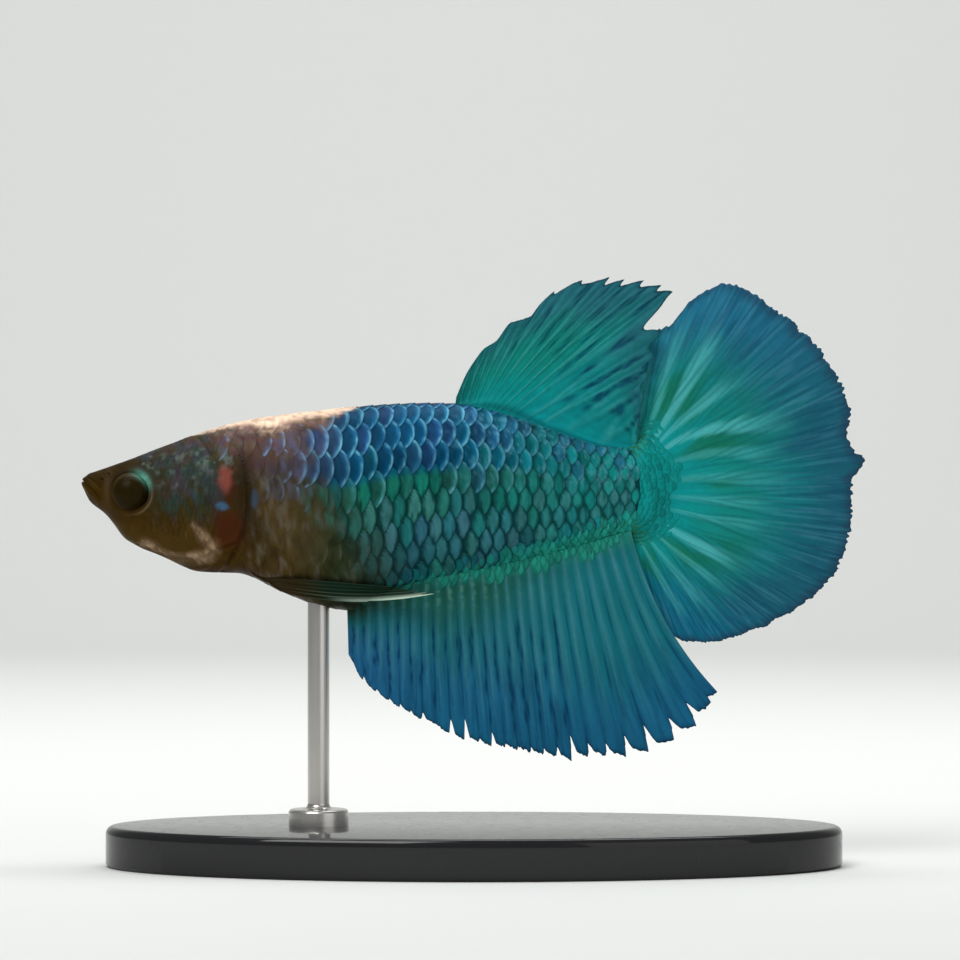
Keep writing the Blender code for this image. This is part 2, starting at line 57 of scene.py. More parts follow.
# ---- Body: (x, value) along the fish, as in the solids -----------------------------------------
SNOUT_X, STALK_END_X = -28.8, 13.4
TOP_LINE = [
    (SNOUT_X, 28.7), (-27.6, 29.05), (-25.2, 29.9), (-22.0, 31.1), (-18.0, 32.45), (-15.0, 33.1),
    (-9.0, 33.75), (-3.5, 34.05), (-1.0, 34.0), (2.0, 33.45), (6.7, 31.9), (9.5, 31.1),
    (STALK_END_X, 30.7),
]
BOTTOM_LINE = [
    (SNOUT_X, 27.6), (-28.2, 26.7), (-27.0, 25.7), (-25.4, 23.8), (-22.8, 22.6), (-20.0, 21.5),
    (-17.4, 21.4), (-14.0, 19.9), (-11.2, 18.9), (-9.2, 18.6), (-7.2, 19.5), (-5.0, 20.4),
    (1.5, 21.7), (6.7, 22.9), (11.9, 24.3), (STALK_END_X, 24.6),
]
HALF_WIDTH = [
    (SNOUT_X, 1.2), (-27.0, 1.9), (-25.0, 2.5), (-22.0, 3.1), (-18.5, 3.65), (-14.5, 3.95),
    (-9.5, 4.1), (-3.0, 3.7), (3.0, 2.9), (9.0, 2.0), (STALK_END_X, 1.3),
]
BACK_POWER = [(SNOUT_X, 0.8), (-22.0, 0.8), (-12.0, 0.95), (0.0, 1.1), (STALK_END_X, 1.3)]
BELLY_POWER = [(SNOUT_X, 1.0), (-20.0, 1.0), (-10.0, 0.9), (0.0, 1.15), (STALK_END_X, 1.3)]
SNOUT_ROUND, STALK_ROUND = 0.7, 1.5
NECK_X, END_RINGS = -15.5, 14  # where the rings grow wider apart, and how many close each end

# ---- Head --------------------------------------------------------------------------------------
EYE_X, EYE_Z, EYE_RADIUS = -25.05, 27.4, 1.45
GLINT_TURN = 0.78  # the glint's place round the eye: above and behind it
MOUTH = [(-29.1, 28.45), (-28.3, 27.9), (-27.6, 27.25), (-27.15, 26.6)]  # (x, z) to the corner
GILL_X, GILL_Z, GILL_RADIUS = -24.5, 27.0, 8.0  # the arc of the gill cover's soft edge
PLATE_RADIUS = 6.0  # the arc of its bony edge
CHEEK_X, CHEEK_Z, CHEEK_RADIUS = -25.6, 27.9, 4.1  # the arc of the cheek's edge
NOSTRILS = [(-27.15, 28.35), (-26.7, 28.75)]
THROAT_FOLD = [(-24.6, 23.6), (-22.6, 22.75), (-20.2, 22.55), (-18.6, 23.2), (-17.3, 23.7)]
ARM_X, ARM_Z = -15.7, 25.3  # the pectoral fin's root

# ---- Coat --------------------------------------------------------------------------------------
COAT_TRUNK, COAT_HEAD = 0.16, 0.06  # the skin lies this far inside the solids
BODY_ROWS, HEAD_ROWS = 18, 44  # rows of scales round the whole body and the head
BODY_PITCH = [(-20.0, 0.95), (-12.0, 1.04), (-2.0, 1.04), (4.0, 0.96), (13.4, 0.76)]  # (x, along a row)
HEAD_PITCH = [(-25.0, 0.34), (-17.0, 0.46)]
# A scale's half width, how far its rear edge bows and how much of its root is hidden, for rows 1 apart.
PLATE_HALF, PLATE_ROUND, PLATE_HIDDEN = 0.87, 0.8, 0.62
PLATE_SINK = 0.03  # how deep a scale's root lies in the skin
PITCH_SHARE = 0.95  # how far apart the small scales of a row are, as a share of their size
EDGE_BAND = [(-9.0, 0.35), (-4.0, 0.5), (2.0, 0.8), (12.0, 1.4)]  # (x, height of the small scales)
SHEATH_DEPTH = [(-4.5, -0.3), (-2.0, 0.0), (1.0, 0.35), (4.0, 0.45), (11.0, 0.2)]  # (x, depth on the fin)

# ---- Places and colours of the markings --------------------------------------------------------
FRONT_EDGE = [  # (share of the height, x) of the line between the brown front and the colour
    (0.0, -6.6), (0.12, -6.9), (0.3, -8.2), (0.42, -9.3), (0.52, -9.9), (0.62, -10.9), (0.7, -12.4),
    (0.82, -12.2), (0.92, -10.6), (1.0, -9.4),
]
RIM_PATH = [  # (x, z) of the pale rim behind and under the cheek
    (-20.3, 25.0), (-19.5, 23.9), (-19.05, 23.3), (-19.6, 22.75), (-21.4, 22.65), (-23.0, 23.2),
    (-24.0, 23.6),
]
RIM_HALF = [  # (share of that path, half width)
    (0.0, 0.35), (0.25, 0.95), (0.45, 0.85), (0.6, 0.5), (0.8, 0.45), (1.0, 0.7),
]

COLOUR = {  # every colour of the fish by name, as sRGB
    # the head and the breast
    "head": (0.22, 0.15, 0.0),
    "head_low": (0.27, 0.195, 0.04),
    "crown": (0.26, 0.23, 0.15),
    # the pale nape band: partly its own colour, partly a painted highlight where the top of the back catches
    # the light
    "nape": (0.97, 0.84, 0.73),
    "cheek_green": (0.14, 0.245, 0.195),
    "speck": (0.28, 0.41, 0.38),
    "pale_speck": (0.45, 0.44, 0.42),
    "mauve": (0.30, 0.20, 0.21),
    "blush": (0.52, 0.40, 0.37),
    "lilac": (0.36, 0.40, 0.55),
    "ash": (0.26, 0.43, 0.45),
    "slate": (0.21, 0.23, 0.28),
    "gill_pink": (0.54, 0.28, 0.24),
    "gill_red": (0.26, 0.10, 0.035),
    "gill_blue": (0.24, 0.38, 0.50),
    "rim": (0.69, 0.58, 0.47),
    "throat": (0.27, 0.18, 0.08),
    "belly": (0.28, 0.22, 0.10),
    "belly_green": (0.11, 0.20, 0.12),
    # dark brown used for painted shade: in the gill opening, in the eye's socket and under the breast
    "fold": (0.14, 0.095, 0.04),
    "glint": (0.40, 0.68, 0.60),
    # the flank
    "blue": (0.0, 0.30, 0.45),
    "blue_rear": (0.04, 0.42, 0.51),
    "blue_rim": (0.36, 0.62, 0.70),
    "lone_rim": (0.42, 0.54, 0.66),
    "violet": (0.16, 0.27, 0.50),
    "green": (0.06, 0.43, 0.36),
    "teal": (0.07, 0.42, 0.40),
    "low": (0.10, 0.40, 0.44),
    "low_violet": (0.13, 0.33, 0.43),
    "cyan": (0.14, 0.56, 0.49),
    "stalk": (0.05, 0.49, 0.47),
    "gap": (0.0, 0.17, 0.19),
    # the eyes
    "iris": (0.17, 0.125, 0.04),
    "iris_rim": (0.25, 0.19, 0.08),
    "pupil": (0.13, 0.095, 0.01),
    "eye_light": (0.42, 0.36, 0.24),
    # the fins, from root to edge, then the marks on them
    "dorsal_root": (0.02, 0.55, 0.54),
    "dorsal_low": (0.05, 0.50, 0.46),
    "dorsal_high": (0.12, 0.40, 0.43),
    "dorsal_pale": (0.18, 0.43, 0.50),
    "dorsal_front": (0.03, 0.37, 0.36),
    "dorsal_rear": (0.03, 0.52, 0.55),
    # dark lines beside each ray: painted shade of its ridge
    "dorsal_seam": (0.0, 0.30, 0.33),
    # light line along each ray: partly its own colour, partly a painted highlight on its ridge
    "dorsal_ray": (0.26, 0.62, 0.61),
    "dorsal_dash": (0.01, 0.20, 0.29),
    "dorsal_small_dash": (0.01, 0.24, 0.36),
    # painted shade along the crease at the fin's root
    "dorsal_fold": (0.0, 0.24, 0.28),
    "dorsal_rim": (0.06, 0.17, 0.22),
    "anal_root": (0.10, 0.35, 0.30),
    "anal_low": (0.09, 0.41, 0.46),
    "anal_high": (0.10, 0.39, 0.53),
    "anal_front": (0.14, 0.37, 0.55),
    "anal_rear": (0.06, 0.43, 0.47),
    # brownish painted shadow of the pelvic fins on the anal fin's front root
    "anal_brown": (0.12, 0.15, 0.06),
    "anal_ray": (0.27, 0.54, 0.58),
    "anal_bead": (0.36, 0.60, 0.50),
    "anal_crack": (0.02, 0.24, 0.33),
    "anal_dash": (0.0, 0.17, 0.30),
    "anal_hair": (0.04, 0.24, 0.38),
    "anal_rim": (0.10, 0.20, 0.32),
    "caudal_root": (0.04, 0.56, 0.56),
    "caudal_low": (0.08, 0.51, 0.48),
    "caudal_middle": (0.09, 0.48, 0.50),
    "caudal_high": (0.11, 0.36, 0.44),
    "caudal_upper": (0.14, 0.45, 0.58),
    "caudal_lower": (0.05, 0.43, 0.56),
    # partly its own lighter colour, partly painted light against the dorsal fin's shadow
    "caudal_top_root": (0.12, 0.54, 0.58),
    "caudal_green": (0.07, 0.43, 0.30),
    "caudal_band": (0.31, 0.71, 0.72),
    "caudal_seam": (0.03, 0.36, 0.39),
    "caudal_light": (0.28, 0.52, 0.61),
    "caudal_dark": (0.05, 0.23, 0.35),
    "caudal_rim": (0.14, 0.20, 0.30),
    # the scales on the tail fin's root and the paired fins
    "tail_scale": (0.05, 0.53, 0.51),
    "tail_corner": (0.20, 0.47, 0.29),
    "tail_outer": (0.05, 0.55, 0.54),
    "pelvic_dark": (0.07, 0.16, 0.11),
    "pelvic_ray": (0.50, 0.58, 0.50),
    "pelvic_pale": (0.80, 0.90, 0.82),
    "pectoral_clear": (0.42, 0.38, 0.28),
    "pectoral_ray": (0.26, 0.21, 0.13),
    "pectoral_root": (0.2, 0.15, 0.08),
}
GILL_PATCHES = [  # colour, x, z, half length, half height, how strong
    # the two fold patches are painted shade in the gill opening along the cover's soft edge
    ("fold", -16.6, 27.6, 0.85, 2.6, 0.75),
    ("fold", -16.3, 25.0, 0.9, 1.6, 0.6),
    ("gill_red", -17.8, 24.6, 1.15, 1.5, 0.9),
    ("gill_red", -17.75, 28.0, 0.5, 1.5, 0.7),
    ("gill_pink", -18.05, 28.35, 0.5, 0.95, 0.95),
    ("slate", -18.9, 27.2, 0.8, 0.9, 0.4),
    ("gill_blue", -18.2, 26.4, 0.44, 0.28, 0.95),
    ("gill_blue", -15.9, 26.9, 0.3, 0.7, 0.4),
    ("mauve", -14.4, 30.2, 2.6, 1.5, 0.55),
    ("slate", -13.4, 29.0, 1.6, 0.8, 0.4),
]


def srgb(colour):
    """Linear values of an sRGB colour or an array of them."""
    c = np.asarray(colour, float)
    return np.where(c <= 0.04045, c / 12.92, ((c + 0.055) / 1.055) ** 2.4)


def linear(colour):
    """Linear values of a colour: a name, sRGB values in a tuple, or an array that is linear already."""
    if isinstance(colour, str):
        colour = COLOUR[colour]
    return srgb(colour) if isinstance(colour, tuple) else colour


def smooth_curve(knots):
    """The function through (position, value) knots that is smooth and doesn't overshoot between them."""
    at, value = np.array(knots, float).T
    slope = np.diff(value) / np.diff(at)
    same_way = slope[1:] * slope[:-1] > 0
    total = np.where(same_way, slope[1:] + slope[:-1], 1.0)
    inner = np.where(same_way, 2 * slope[1:] * slope[:-1] / total, 0.0)
    tangent = np.concatenate([slope[:1], inner, slope[-1:]])

    def curve(x):
        x = np.clip(x, at[0], at[-1])
        i = np.clip(np.searchsorted(at, x) - 1, 0, len(at) - 2)
        width = at[i + 1] - at[i]
        t = (x - at[i]) / width
        start = value[i] * (1 + 2 * t) * (1 - t) ** 2 + tangent[i] * width * t * (1 - t) ** 2
        end = value[i + 1] * (3 - 2 * t) * t**2 - tangent[i + 1] * width * (1 - t) * t**2
        return start + end

    return curve


def step(low, high, x):
    """0 at low, 1 at high, smooth between. low may be the larger."""
    t = np.clip((x - low) / (high - low), 0.0, 1.0)
    return t * t * (3 - 2 * t)


def bell(x, width):
    """1 at 0, falling smoothly to 0 on both sides."""
    return np.exp(-((x / width) ** 2))


def mix(first, second, share):
    """From first to second by share, where each is one colour or one for each share."""
    share = np.asarray(share)[..., None]
    return linear(first) * (1 - share) + linear(second) * share


LIGHT = None  # stands in for a coat's colour, where its share brightens or darkens what is there


def paint(base, *coats):
    """The base with coats of (colour, share) laid over it in turn."""
    base = linear(base)
    for colour, share in coats:
        base = base * share[..., None] if colour is LIGHT else mix(base, colour, share)
    return base


def stacked(*parts):
    """Arrays side by side in a new last axis, as x, y and z in points."""
    return np.stack(np.broadcast_arrays(*parts), axis=-1)


def ramp(pair, share):
    """From the first of a pair to the second as share goes from 0 to 1."""
    return pair[0] + (pair[1] - pair[0]) * share


def lattice_noise(points, seed):
    """Smooth noise from 0 to 1 at points whose cells are 1 across."""
    cell = np.floor(points).astype(np.int64)
    t = points - cell
    t = t * t * (3 - 2 * t)
    total = 0.0
    for corner in np.ndindex(2, 2, 2):
        c = cell + np.array(corner)
        mixed = (c[..., 0] * 73856093) ^ (c[..., 1] * 19349663) ^ (c[..., 2] * 83492791) ^ (seed * 2654435761)
        mixed = (mixed ^ (mixed >> 13)) * 1274126177 & 0xFFFFFFFF
        mixed = ((mixed ^ (mixed >> 16)) & 0xFFFF) / 65535.0
        weight = np.prod(np.where(corner, t, 1 - t), axis=-1)
        total = total + mixed * weight
    return total


def noise(points, size, seed, octaves=2):
    """Smooth noise from 0 to 1, in patches about size across."""
    points = np.asarray(points, float) / size
    total, weight = 0.0, 0.0
    for octave in range(octaves):
        share = 0.5**octave
        total = total + share * lattice_noise(points * 2**octave, seed + 17 * octave)
        weight += share
    return total / weight


top_line, bottom_line, half_width = map(smooth_curve, (TOP_LINE, BOTTOM_LINE, HALF_WIDTH))
back_power, belly_power = map(smooth_curve, (BACK_POWER, BELLY_POWER))
edge_band, sheath_depth = map(smooth_curve, (EDGE_BAND, SHEATH_DEPTH))
front_edge, rim_half = map(smooth_curve, (FRONT_EDGE, RIM_HALF))


# ---- The body's surface ------------------------------------------------------------------------
def closing(x):
    """1 along the body, falling to 0 over the rounded ends."""
    ahead = np.clip((x - SNOUT_X) / SNOUT_ROUND, 0.0, 1.0)
    behind = np.clip((STALK_END_X - x) / STALK_ROUND, 0.0, 1.0)
    return np.sqrt(1 - (1 - ahead) ** 2) * np.sqrt(1 - (1 - behind) ** 2)


def body_points(x, angle):
    """The solids' surface, where the angle turns from the back over the right flank to the belly."""
    top, bottom = top_line(x), bottom_line(x)
    half, wide = (top - bottom) / 2 * closing(x), half_width(x) * closing(x)
    side = np.sin(angle)
    power = np.where(np.cos(angle) > 0, back_power(x), belly_power(x))
    return stacked(x, np.sign(side) * wide * np.abs(side) ** power, (top + bottom) / 2 + half * np.cos(angle))


def ring_places(count_head, count_trunk):
    """x of each ring: close together on the head and over the rounded ends."""
    turn = np.linspace(0.04, math.pi / 2, END_RINGS)
    snout = SNOUT_X + SNOUT_ROUND * (1 - np.cos(turn))
    tail = STALK_END_X - STALK_ROUND * (1 - np.cos(turn[::-1]))
    head = np.linspace(snout[-1], NECK_X, count_head)[1:]
    trunk = np.linspace(NECK_X, tail[0], count_trunk)[1:]
    return np.concatenate([snout, head, trunk, tail[1:]])


def path_distance(x, z, path):
    """Distance to a path of (x, z) points, and how far along it the nearest point is, 0 to 1."""
    best, along = np.full(np.shape(x), 1e9), np.zeros(np.shape(x))
    legs = [math.dist(a, b) for a, b in zip(path, path[1:])]
    gone = 0.0
    for (ax, az), (bx, bz), leg in zip(path, path[1:], legs):
        t = np.clip(((x - ax) * (bx - ax) + (z - az) * (bz - az)) / leg**2, 0.0, 1.0)
        d = np.hypot(x - ax - t * (bx - ax), z - az - t * (bz - az))
        along = np.where(d < best, (gone + t * leg) / sum(legs), along)
        best = np.minimum(best, d)
        gone += leg
    return best, along


def fine_path(path, count=24):
    """The same path on a smooth curve."""
    places = np.linspace(0.0, 1.0, len(path))
    at = np.linspace(0.0, 1.0, count)
    curves = [smooth_curve(list(zip(places, values))) for values in zip(*path)]
    return list(zip(*(curve(at) for curve in curves)))


MOUTH_PATH, FOLD_PATH, RIM_CURVE = fine_path(MOUTH), fine_path(THROAT_FOLD), fine_path(RIM_PATH)


def mouth_relief(x, z, flank):
    """The slit of the mouth, the lip above it, the fold beside it and the two nostrils."""
    mouth, along = path_distance(x, z, MOUTH_PATH)
    fade = step(1.0, 0.8, along)
    relief = fade * (0.04 * bell(mouth - 0.22, 0.16) - 0.13 * bell(mouth, 0.07))
    relief = relief - 0.04 * bell(np.abs(mouth - 0.55), 0.09) * fade * flank * step(25.8, 26.8, z)
    for nostril_x, nostril_z in NOSTRILS:
        far = np.hypot(x - nostril_x, z - nostril_z)
        relief = relief + (0.04 * bell(far - 0.17, 0.08) - 0.15 * bell(far, 0.08)) * flank
    return relief


def gill_distance(x, z):
    """Distance to the centre of the arcs that the gill cover's edges follow."""
    return np.hypot(x - GILL_X, z - GILL_Z)


def gill_relief(x, z, flank):
    """The cheek's edge, the gill cover's bony plate and its soft edge."""
    gill = gill_distance(x, z)
    behind, low = step(-22.5, -20.0, x) * flank, step(23.0, 24.0, z)
    cheek = np.hypot(x - CHEEK_X, z - CHEEK_Z) - CHEEK_RADIUS
    cheek = bell(cheek, 0.14) * step(24.3, 25.5, z) * step(31.0, 29.6, z) * step(-25.0, -23.0, x)
    plate = 0.07 * step(0.25, -0.05, gill - PLATE_RADIUS) - 0.05 * bell(gill - PLATE_RADIUS - 0.2, 0.16)
    soft = 0.10 * step(0.08, -0.12, gill - GILL_RADIUS) * step(32.0, 31.0, z)
    slit = 0.16 * bell(gill - GILL_RADIUS - 0.18, 0.17) * step(31.6, 30.6, z)
    return (plate * low + soft - slit) * behind - 0.06 * cheek * flank


def throat_relief(x, z, flank):
    """The fold under the gill cover, and the rays of the skin that spans the throat."""
    fold = path_distance(x, z, FOLD_PATH)[0]
    under = step(-0.02, 0.25, 22.6 + 0.18 * np.abs(x + 20.6) ** 1.3 - z)
    relief = flank * (0.09 * bell(fold - 0.2, 0.2) * (1 - under) - 0.14 * bell(fold, 0.12))
    for shift in (0.55, 1.0):
        ray = path_distance(x, z + shift, FOLD_PATH)[0]
        relief = relief - 0.05 * bell(ray, 0.1) * flank * step(-24.0, -22.5, x)
    return relief


def head_relief(points):
    """How far the head's folds stand out of the smooth form, in mm."""
    x, y, z = points[..., 0], np.abs(points[..., 1]), points[..., 2]
    flank = step(0.25, 0.8, y)
    eye = np.hypot(x - EYE_X, z - EYE_Z) - EYE_RADIUS
    socket = 0.05 * bell(eye - 0.25, 0.22) - 0.06 * bell(eye - 0.03, 0.07) - 1.1 * step(-0.05, -0.35, eye)
    lumps = 0.05 * (noise(points, 0.9, 61, 3) - 0.5) * step(-15.0, -18.0, x)
    arm = 0.22 * bell(np.hypot(x - ARM_X, (z - ARM_Z) / 1.3), 0.75)
    relief = mouth_relief(x, z, flank) + gill_relief(x, z, flank) + throat_relief(x, z, flank)
    return relief + (socket + arm) * flank + lumps


class Skin:
    """The skin as rings of points, so that anything can be laid on it by x and share of the way round."""

    def __init__(self, count_head=184, count_trunk=118, count_round=300):
        self.x = ring_places(count_head, count_trunk)
        self.round = count_round
        angle = np.linspace(0.0, 2 * math.pi, 721)
        solid = body_points(self.x[:, None], angle[None, :])
        arc = np.linalg.norm(np.diff(solid, axis=1), axis=2).cumsum(axis=1)
        arc = np.concatenate([np.zeros((len(arc), 1)), arc], axis=1)
        self.perimeter = arc[:, -1]
        share = np.arange(count_round) / count_round
        turned = np.stack([np.interp(share * a[-1], a, angle) for a in arc])
        self.solid = body_points(self.x[:, None], turned)
        normal = self.surface_normals(self.solid)
        coat = COAT_HEAD + (COAT_TRUNK - COAT_HEAD) * step(-19.0, -14.0, self.solid[..., 0])
        relief = head_relief(self.solid)
        self.point = self.solid + normal * (relief - coat)[..., None]
        self.normal = self.surface_normals(self.point)

    @staticmethod
    def surface_normals(grid):
        """Unit normals out of a grid of rings."""
        along = np.gradient(grid, axis=0)
        across = np.roll(grid, -1, axis=1) - np.roll(grid, 1, axis=1)
        normal = np.cross(along, across)
        return normal / np.maximum(np.linalg.norm(normal, axis=2, keepdims=True), 1e-12)

    def between(self, table, x, share):
        """A table's value at any x and any share of the way round."""
        i = np.clip(np.searchsorted(self.x, x) - 1, 0, len(self.x) - 2)
        f = np.clip((x - self.x[i]) / (self.x[i + 1] - self.x[i]), 0.0, 1.0)[..., None]
        place = np.mod(share, 1.0) * self.round
        j = np.floor(place).astype(int) % self.round
        g = (place - np.floor(place))[..., None]
        k = (j + 1) % self.round
        near = table[i, j] * (1 - g) + table[i, k] * g
        far = table[i + 1, j] * (1 - g) + table[i + 1, k] * g
        return near * (1 - f) + far * f

    def lay(self, x, share, height):
        """Points at a height over the skin."""
        normal = self.between(self.normal, x, share)
        normal = normal / np.linalg.norm(normal, axis=-1, keepdims=True)
        return self.between(self.point, x, share) + normal * height[..., None]


SKIN = Skin()


# ---- Markings ----------------------------------------------------------------------------------
def height_share(x, z):
    """0 on the belly line, 1 on the back line."""
    top, bottom = top_line(x), bottom_line(x)
    return np.clip((z - bottom) / (top - bottom), 0.0, 1.0)


def spot(x, z, at_x, at_z, half_x, half_z):
    """1 inside an oval, 0 outside, soft between."""
    return step(1.25, 0.7, np.hypot((x - at_x) / half_x, (z - at_z) / half_z))


def head_ground(points, t, blotch, fine, streak, slanted):
    """The brown of head and breast, with green on the cheek and grey and pale specks on the crown."""
    x, y, z = points[..., 0], points[..., 1], points[..., 2]
    side, breast = step(0.3, 1.0, np.abs(y)), step(-17.5, -16.0, x)
    upright = noise(points * [1.5, 1.0, 0.5], 0.5, 16, 3)
    greenish = step(0.45, 0.6, noise(points * [2.2, 1.0, 0.5], 0.6, 17, 2))
    greenish = greenish * spot(x, z, -10.3, 27.0, 2.3, 2.2)
    cheek = bell(x + 20.6, 2.7) * bell(z - 28.6, 2.5)
    grey = step(0.42, 0.7, noise(slanted + 9.0, 0.7, 6, 3)) * bell(x + 20.6, 2.0) * bell(z - 27.2, 1.9)
    behind_eye = spot(x, z, -22.3, 26.9, 0.9, 2.1)
    high = step(0.5, 0.72, t) * step(-25.5, -23.5, x) * step(-10.5, -13.5, x)
    mauve = step(0.46, 0.7, noise(points + 40.0, 0.8, 9, 3)) * step(-25.0, -21.0, x)
    blush = step(2.9, 0.8, top_line(x) - z) * step(-20.0, -17.0, x)
    blush = blush * step(0.25, 0.7, blotch + 0.4 * (fine - 0.5))
    specks = step(0.52, 0.8, noise(points, 0.36, 5)) * step(0.35, 0.65, noise(points, 1.5, 10))
    return paint(
        "head",
        ("head_low", step(27.0, 23.5, z) * step(-28.5, -24.0, x)),
        ("crown", step(0.55, 0.9, t) * 0.8 * step(-25.5, -22.5, x)),
        ("belly", step(-18.0, -14.5, x)),
        ("belly_green", step(-14.0, -9.5, x + 2.0 * (blotch - 0.5)) * 0.75 * step(0.8, 0.6, t)),
        (LIGHT, 0.62 + 0.5 * blotch + 0.3 * fine),
        (LIGHT, 1 - 0.4 * step(0.45, 0.8, t) * step(-20.5, -23.5, x)),
        ("pale_speck", 0.3 * breast * step(0.52, 0.75, upright)),
        (LIGHT, 1 - 0.34 * breast * step(0.48, 0.3, upright)),
        (linear("green") * 0.8, 0.5 * greenish),
        ("cheek_green", np.clip(1.25 * cheek * (0.3 + 0.75 * streak), 0, 0.8) * side),
        ("slate", 0.75 * grey * side),
        ("cheek_green", 0.5 * behind_eye * side * step(0.4, 0.6, blotch)),
        ("mauve", 0.75 * mauve * high),
        ("slate", 0.55 * step(0.48, 0.68, noise(points + 7.0, 0.7, 8, 3)) * high),
        ("blush", 0.65 * blush),
        (mix("speck", "pale_speck", blotch), 0.75 * specks * high),
        ("rim", 0.08 * bell(x + 26.7, 0.3) * bell(z - 27.6, 1.0) * side),
    )


def head_colours(points):
    """The head and the breast, with the gill patches, the pale throat rim and the ring round the eye; painted
    shade lies in the gill opening, round the eye and under the breast.
    """
    x, y, z = points[..., 0], points[..., 1], points[..., 2]
    side, t = step(0.3, 1.0, np.abs(y)), height_share(x, z)
    blotch, fine = noise(points, 0.8, 2, 3), noise(points, 0.3, 4, 2)
    slanted = stacked((x + 0.45 * z) * 1.2, y, (z - 0.45 * x) * 0.5)
    streak = step(0.35, 0.75, noise(slanted, 0.6, 3, 3))
    colour = head_ground(points, t, blotch, fine, streak, slanted)
    ragged_x = x + 0.3 * (noise(points, 0.5, 14, 2) - 0.5)
    ragged = 0.4 * (noise(points, 0.5, 15, 2) - 0.5)
    for name, at_x, at_z, half_x, half_z, share in GILL_PATCHES:
        patch = step(1.5, 0.4, np.hypot((ragged_x - at_x) / half_x, (z + ragged - at_z) / half_z))
        colour = mix(colour, name, share * patch * side * (0.6 + 0.5 * blotch))
    rim, along = path_distance(ragged_x, z + 0.5 * ragged, RIM_CURVE)
    pale = step(rim_half(along), 0.0, rim) * (0.3 + 0.9 * streak) * (0.5 + 0.8 * fine) * side
    under_head = step(-15.0, -17.0, x)
    eye, turn = np.hypot(x - EYE_X, z - EYE_Z) - EYE_RADIUS, np.arctan2(z - EYE_Z, x - EYE_X)
    arc = bell(eye - 0.2, 0.06) * bell(turn + 0.6, 0.75) * side
    crescent = bell(eye - 0.05, 0.24) * bell(turn - GLINT_TURN, 0.5) * side * (0.5 + 0.7 * fine)
    return paint(
        colour,
        ("rim", np.clip(0.8 * pale, 0.0, 0.9)),
        ("throat", step(0.0, 0.4, 22.2 - z) * step(-24.5, -22.5, x) * under_head),
        # painted shade along the underside of the breast
        ("fold", 0.7 * step(0.0, 0.35, 21.9 - z) * step(-20.5, -19.5, x) * under_head),
        # painted shade in the eye's socket
        ("fold", 0.35 * bell(eye, 0.25) * side),
        ("rim", 0.25 * arc),
        ("glint", np.clip(crescent, 0, 0.8)),
    )


def nape_highlight_share(points):
    """1 on the pale band along the back of the head and neck: partly its own pale colour, partly a painted
    highlight where the top of the back catches the light.
    """
    x, z = points[..., 0], points[..., 2]
    below = top_line(x) - z
    wide = 0.36 + 1.0 * bell(x + 14.7, 1.4) + 0.3 * bell(x + 11.0, 2.2)
    wide = wide * step(-21.5, -18.5, x) * step(-7.4, -10.0, x) * (0.4 + 1.2 * noise(points, 0.5, 12, 3))
    grain = 0.6 + 0.4 * step(0.35, 0.55, noise(points, 0.3, 13))
    return step(1.35, 0.4, below / np.maximum(wide, 1e-3)) * grain


def flank_colours(points):
    """The scaled flank's own colour: blue above, green along the middle, teal below and on the stalk."""
    x, z = points[..., 0], points[..., 2]
    t, rear = height_share(x, z), step(3.0, 10.0, x)
    wander = 0.14 * (noise(points, 2.2, 21) - 0.5)
    above = z - bottom_line(x) + 0.8 * (noise(points, 1.0, 24) - 0.5)
    edge = step(edge_band(x) + 0.4, edge_band(x) - 0.2, above) * step(-8.5, -7.5, x)
    blue = paint(linear("blue") * 0.75, ("blue", step(-11.0, -5.5, x)), ("blue_rear", step(-3.0, 5.0, x)))
    return paint(
        "green",
        (blue, step(0.56, 0.66, t + wander) * (1 - 0.35 * step(2.0, 5.0, x))),
        ("teal", 0.8 * step(-6.0, 0.0, x) * step(0.62, 0.5, t)),
        ("low", step(0.44, 0.30, t + wander)),
        ("low_violet", 0.8 * bell(t - 0.25, 0.14) * step(0.42, 0.6, noise(points, 1.2, 22))),
        ("green", 0.5 * step(0.5, 0.7, noise(points, 1.6, 23)) * step(0.6, 0.5, t)),
        (linear("belly_green") * 1.5, 0.6 * step(-3.5, -7.5, x) * step(0.55, 0.3, t)),
        ("stalk", rear * (1 - 0.5 * step(0.75, 0.9, t))),
        ("low", 0.5 * rear * bell(t - 0.33, 0.14)),
        ("cyan", 0.8 * edge),
    )


def front_share(points):
    """1 on the brown front of the fish, 0 on the blue and green rest, with a ragged edge."""
    x, t = points[..., 0], height_share(points[..., 0], points[..., 2])
    ragged = 3.4 * (noise(points, 1.3, 31, 3) - 0.5)
    soft = 2.6 - 1.6 * step(0.5, 0.7, t)
    return step(soft, -soft, x - front_edge(t) + ragged)


def skin_colours(points):
    """What shows between the scales: the same markings, darker under the flank's scales."""
    x, z = points[..., 0], points[..., 2]
    return paint(
        flank_colours(points) * 0.35,
        ("gap", 0.5),
        (linear("cyan") * 0.6, step(0.7, 0.3, z - bottom_line(x)) * step(-7.0, -4.0, x)),
        (head_colours(points), front_share(points)),
        # the pale nape band, partly a painted highlight on the top of the back
        ("nape", nape_highlight_share(points) * 0.85),
    )


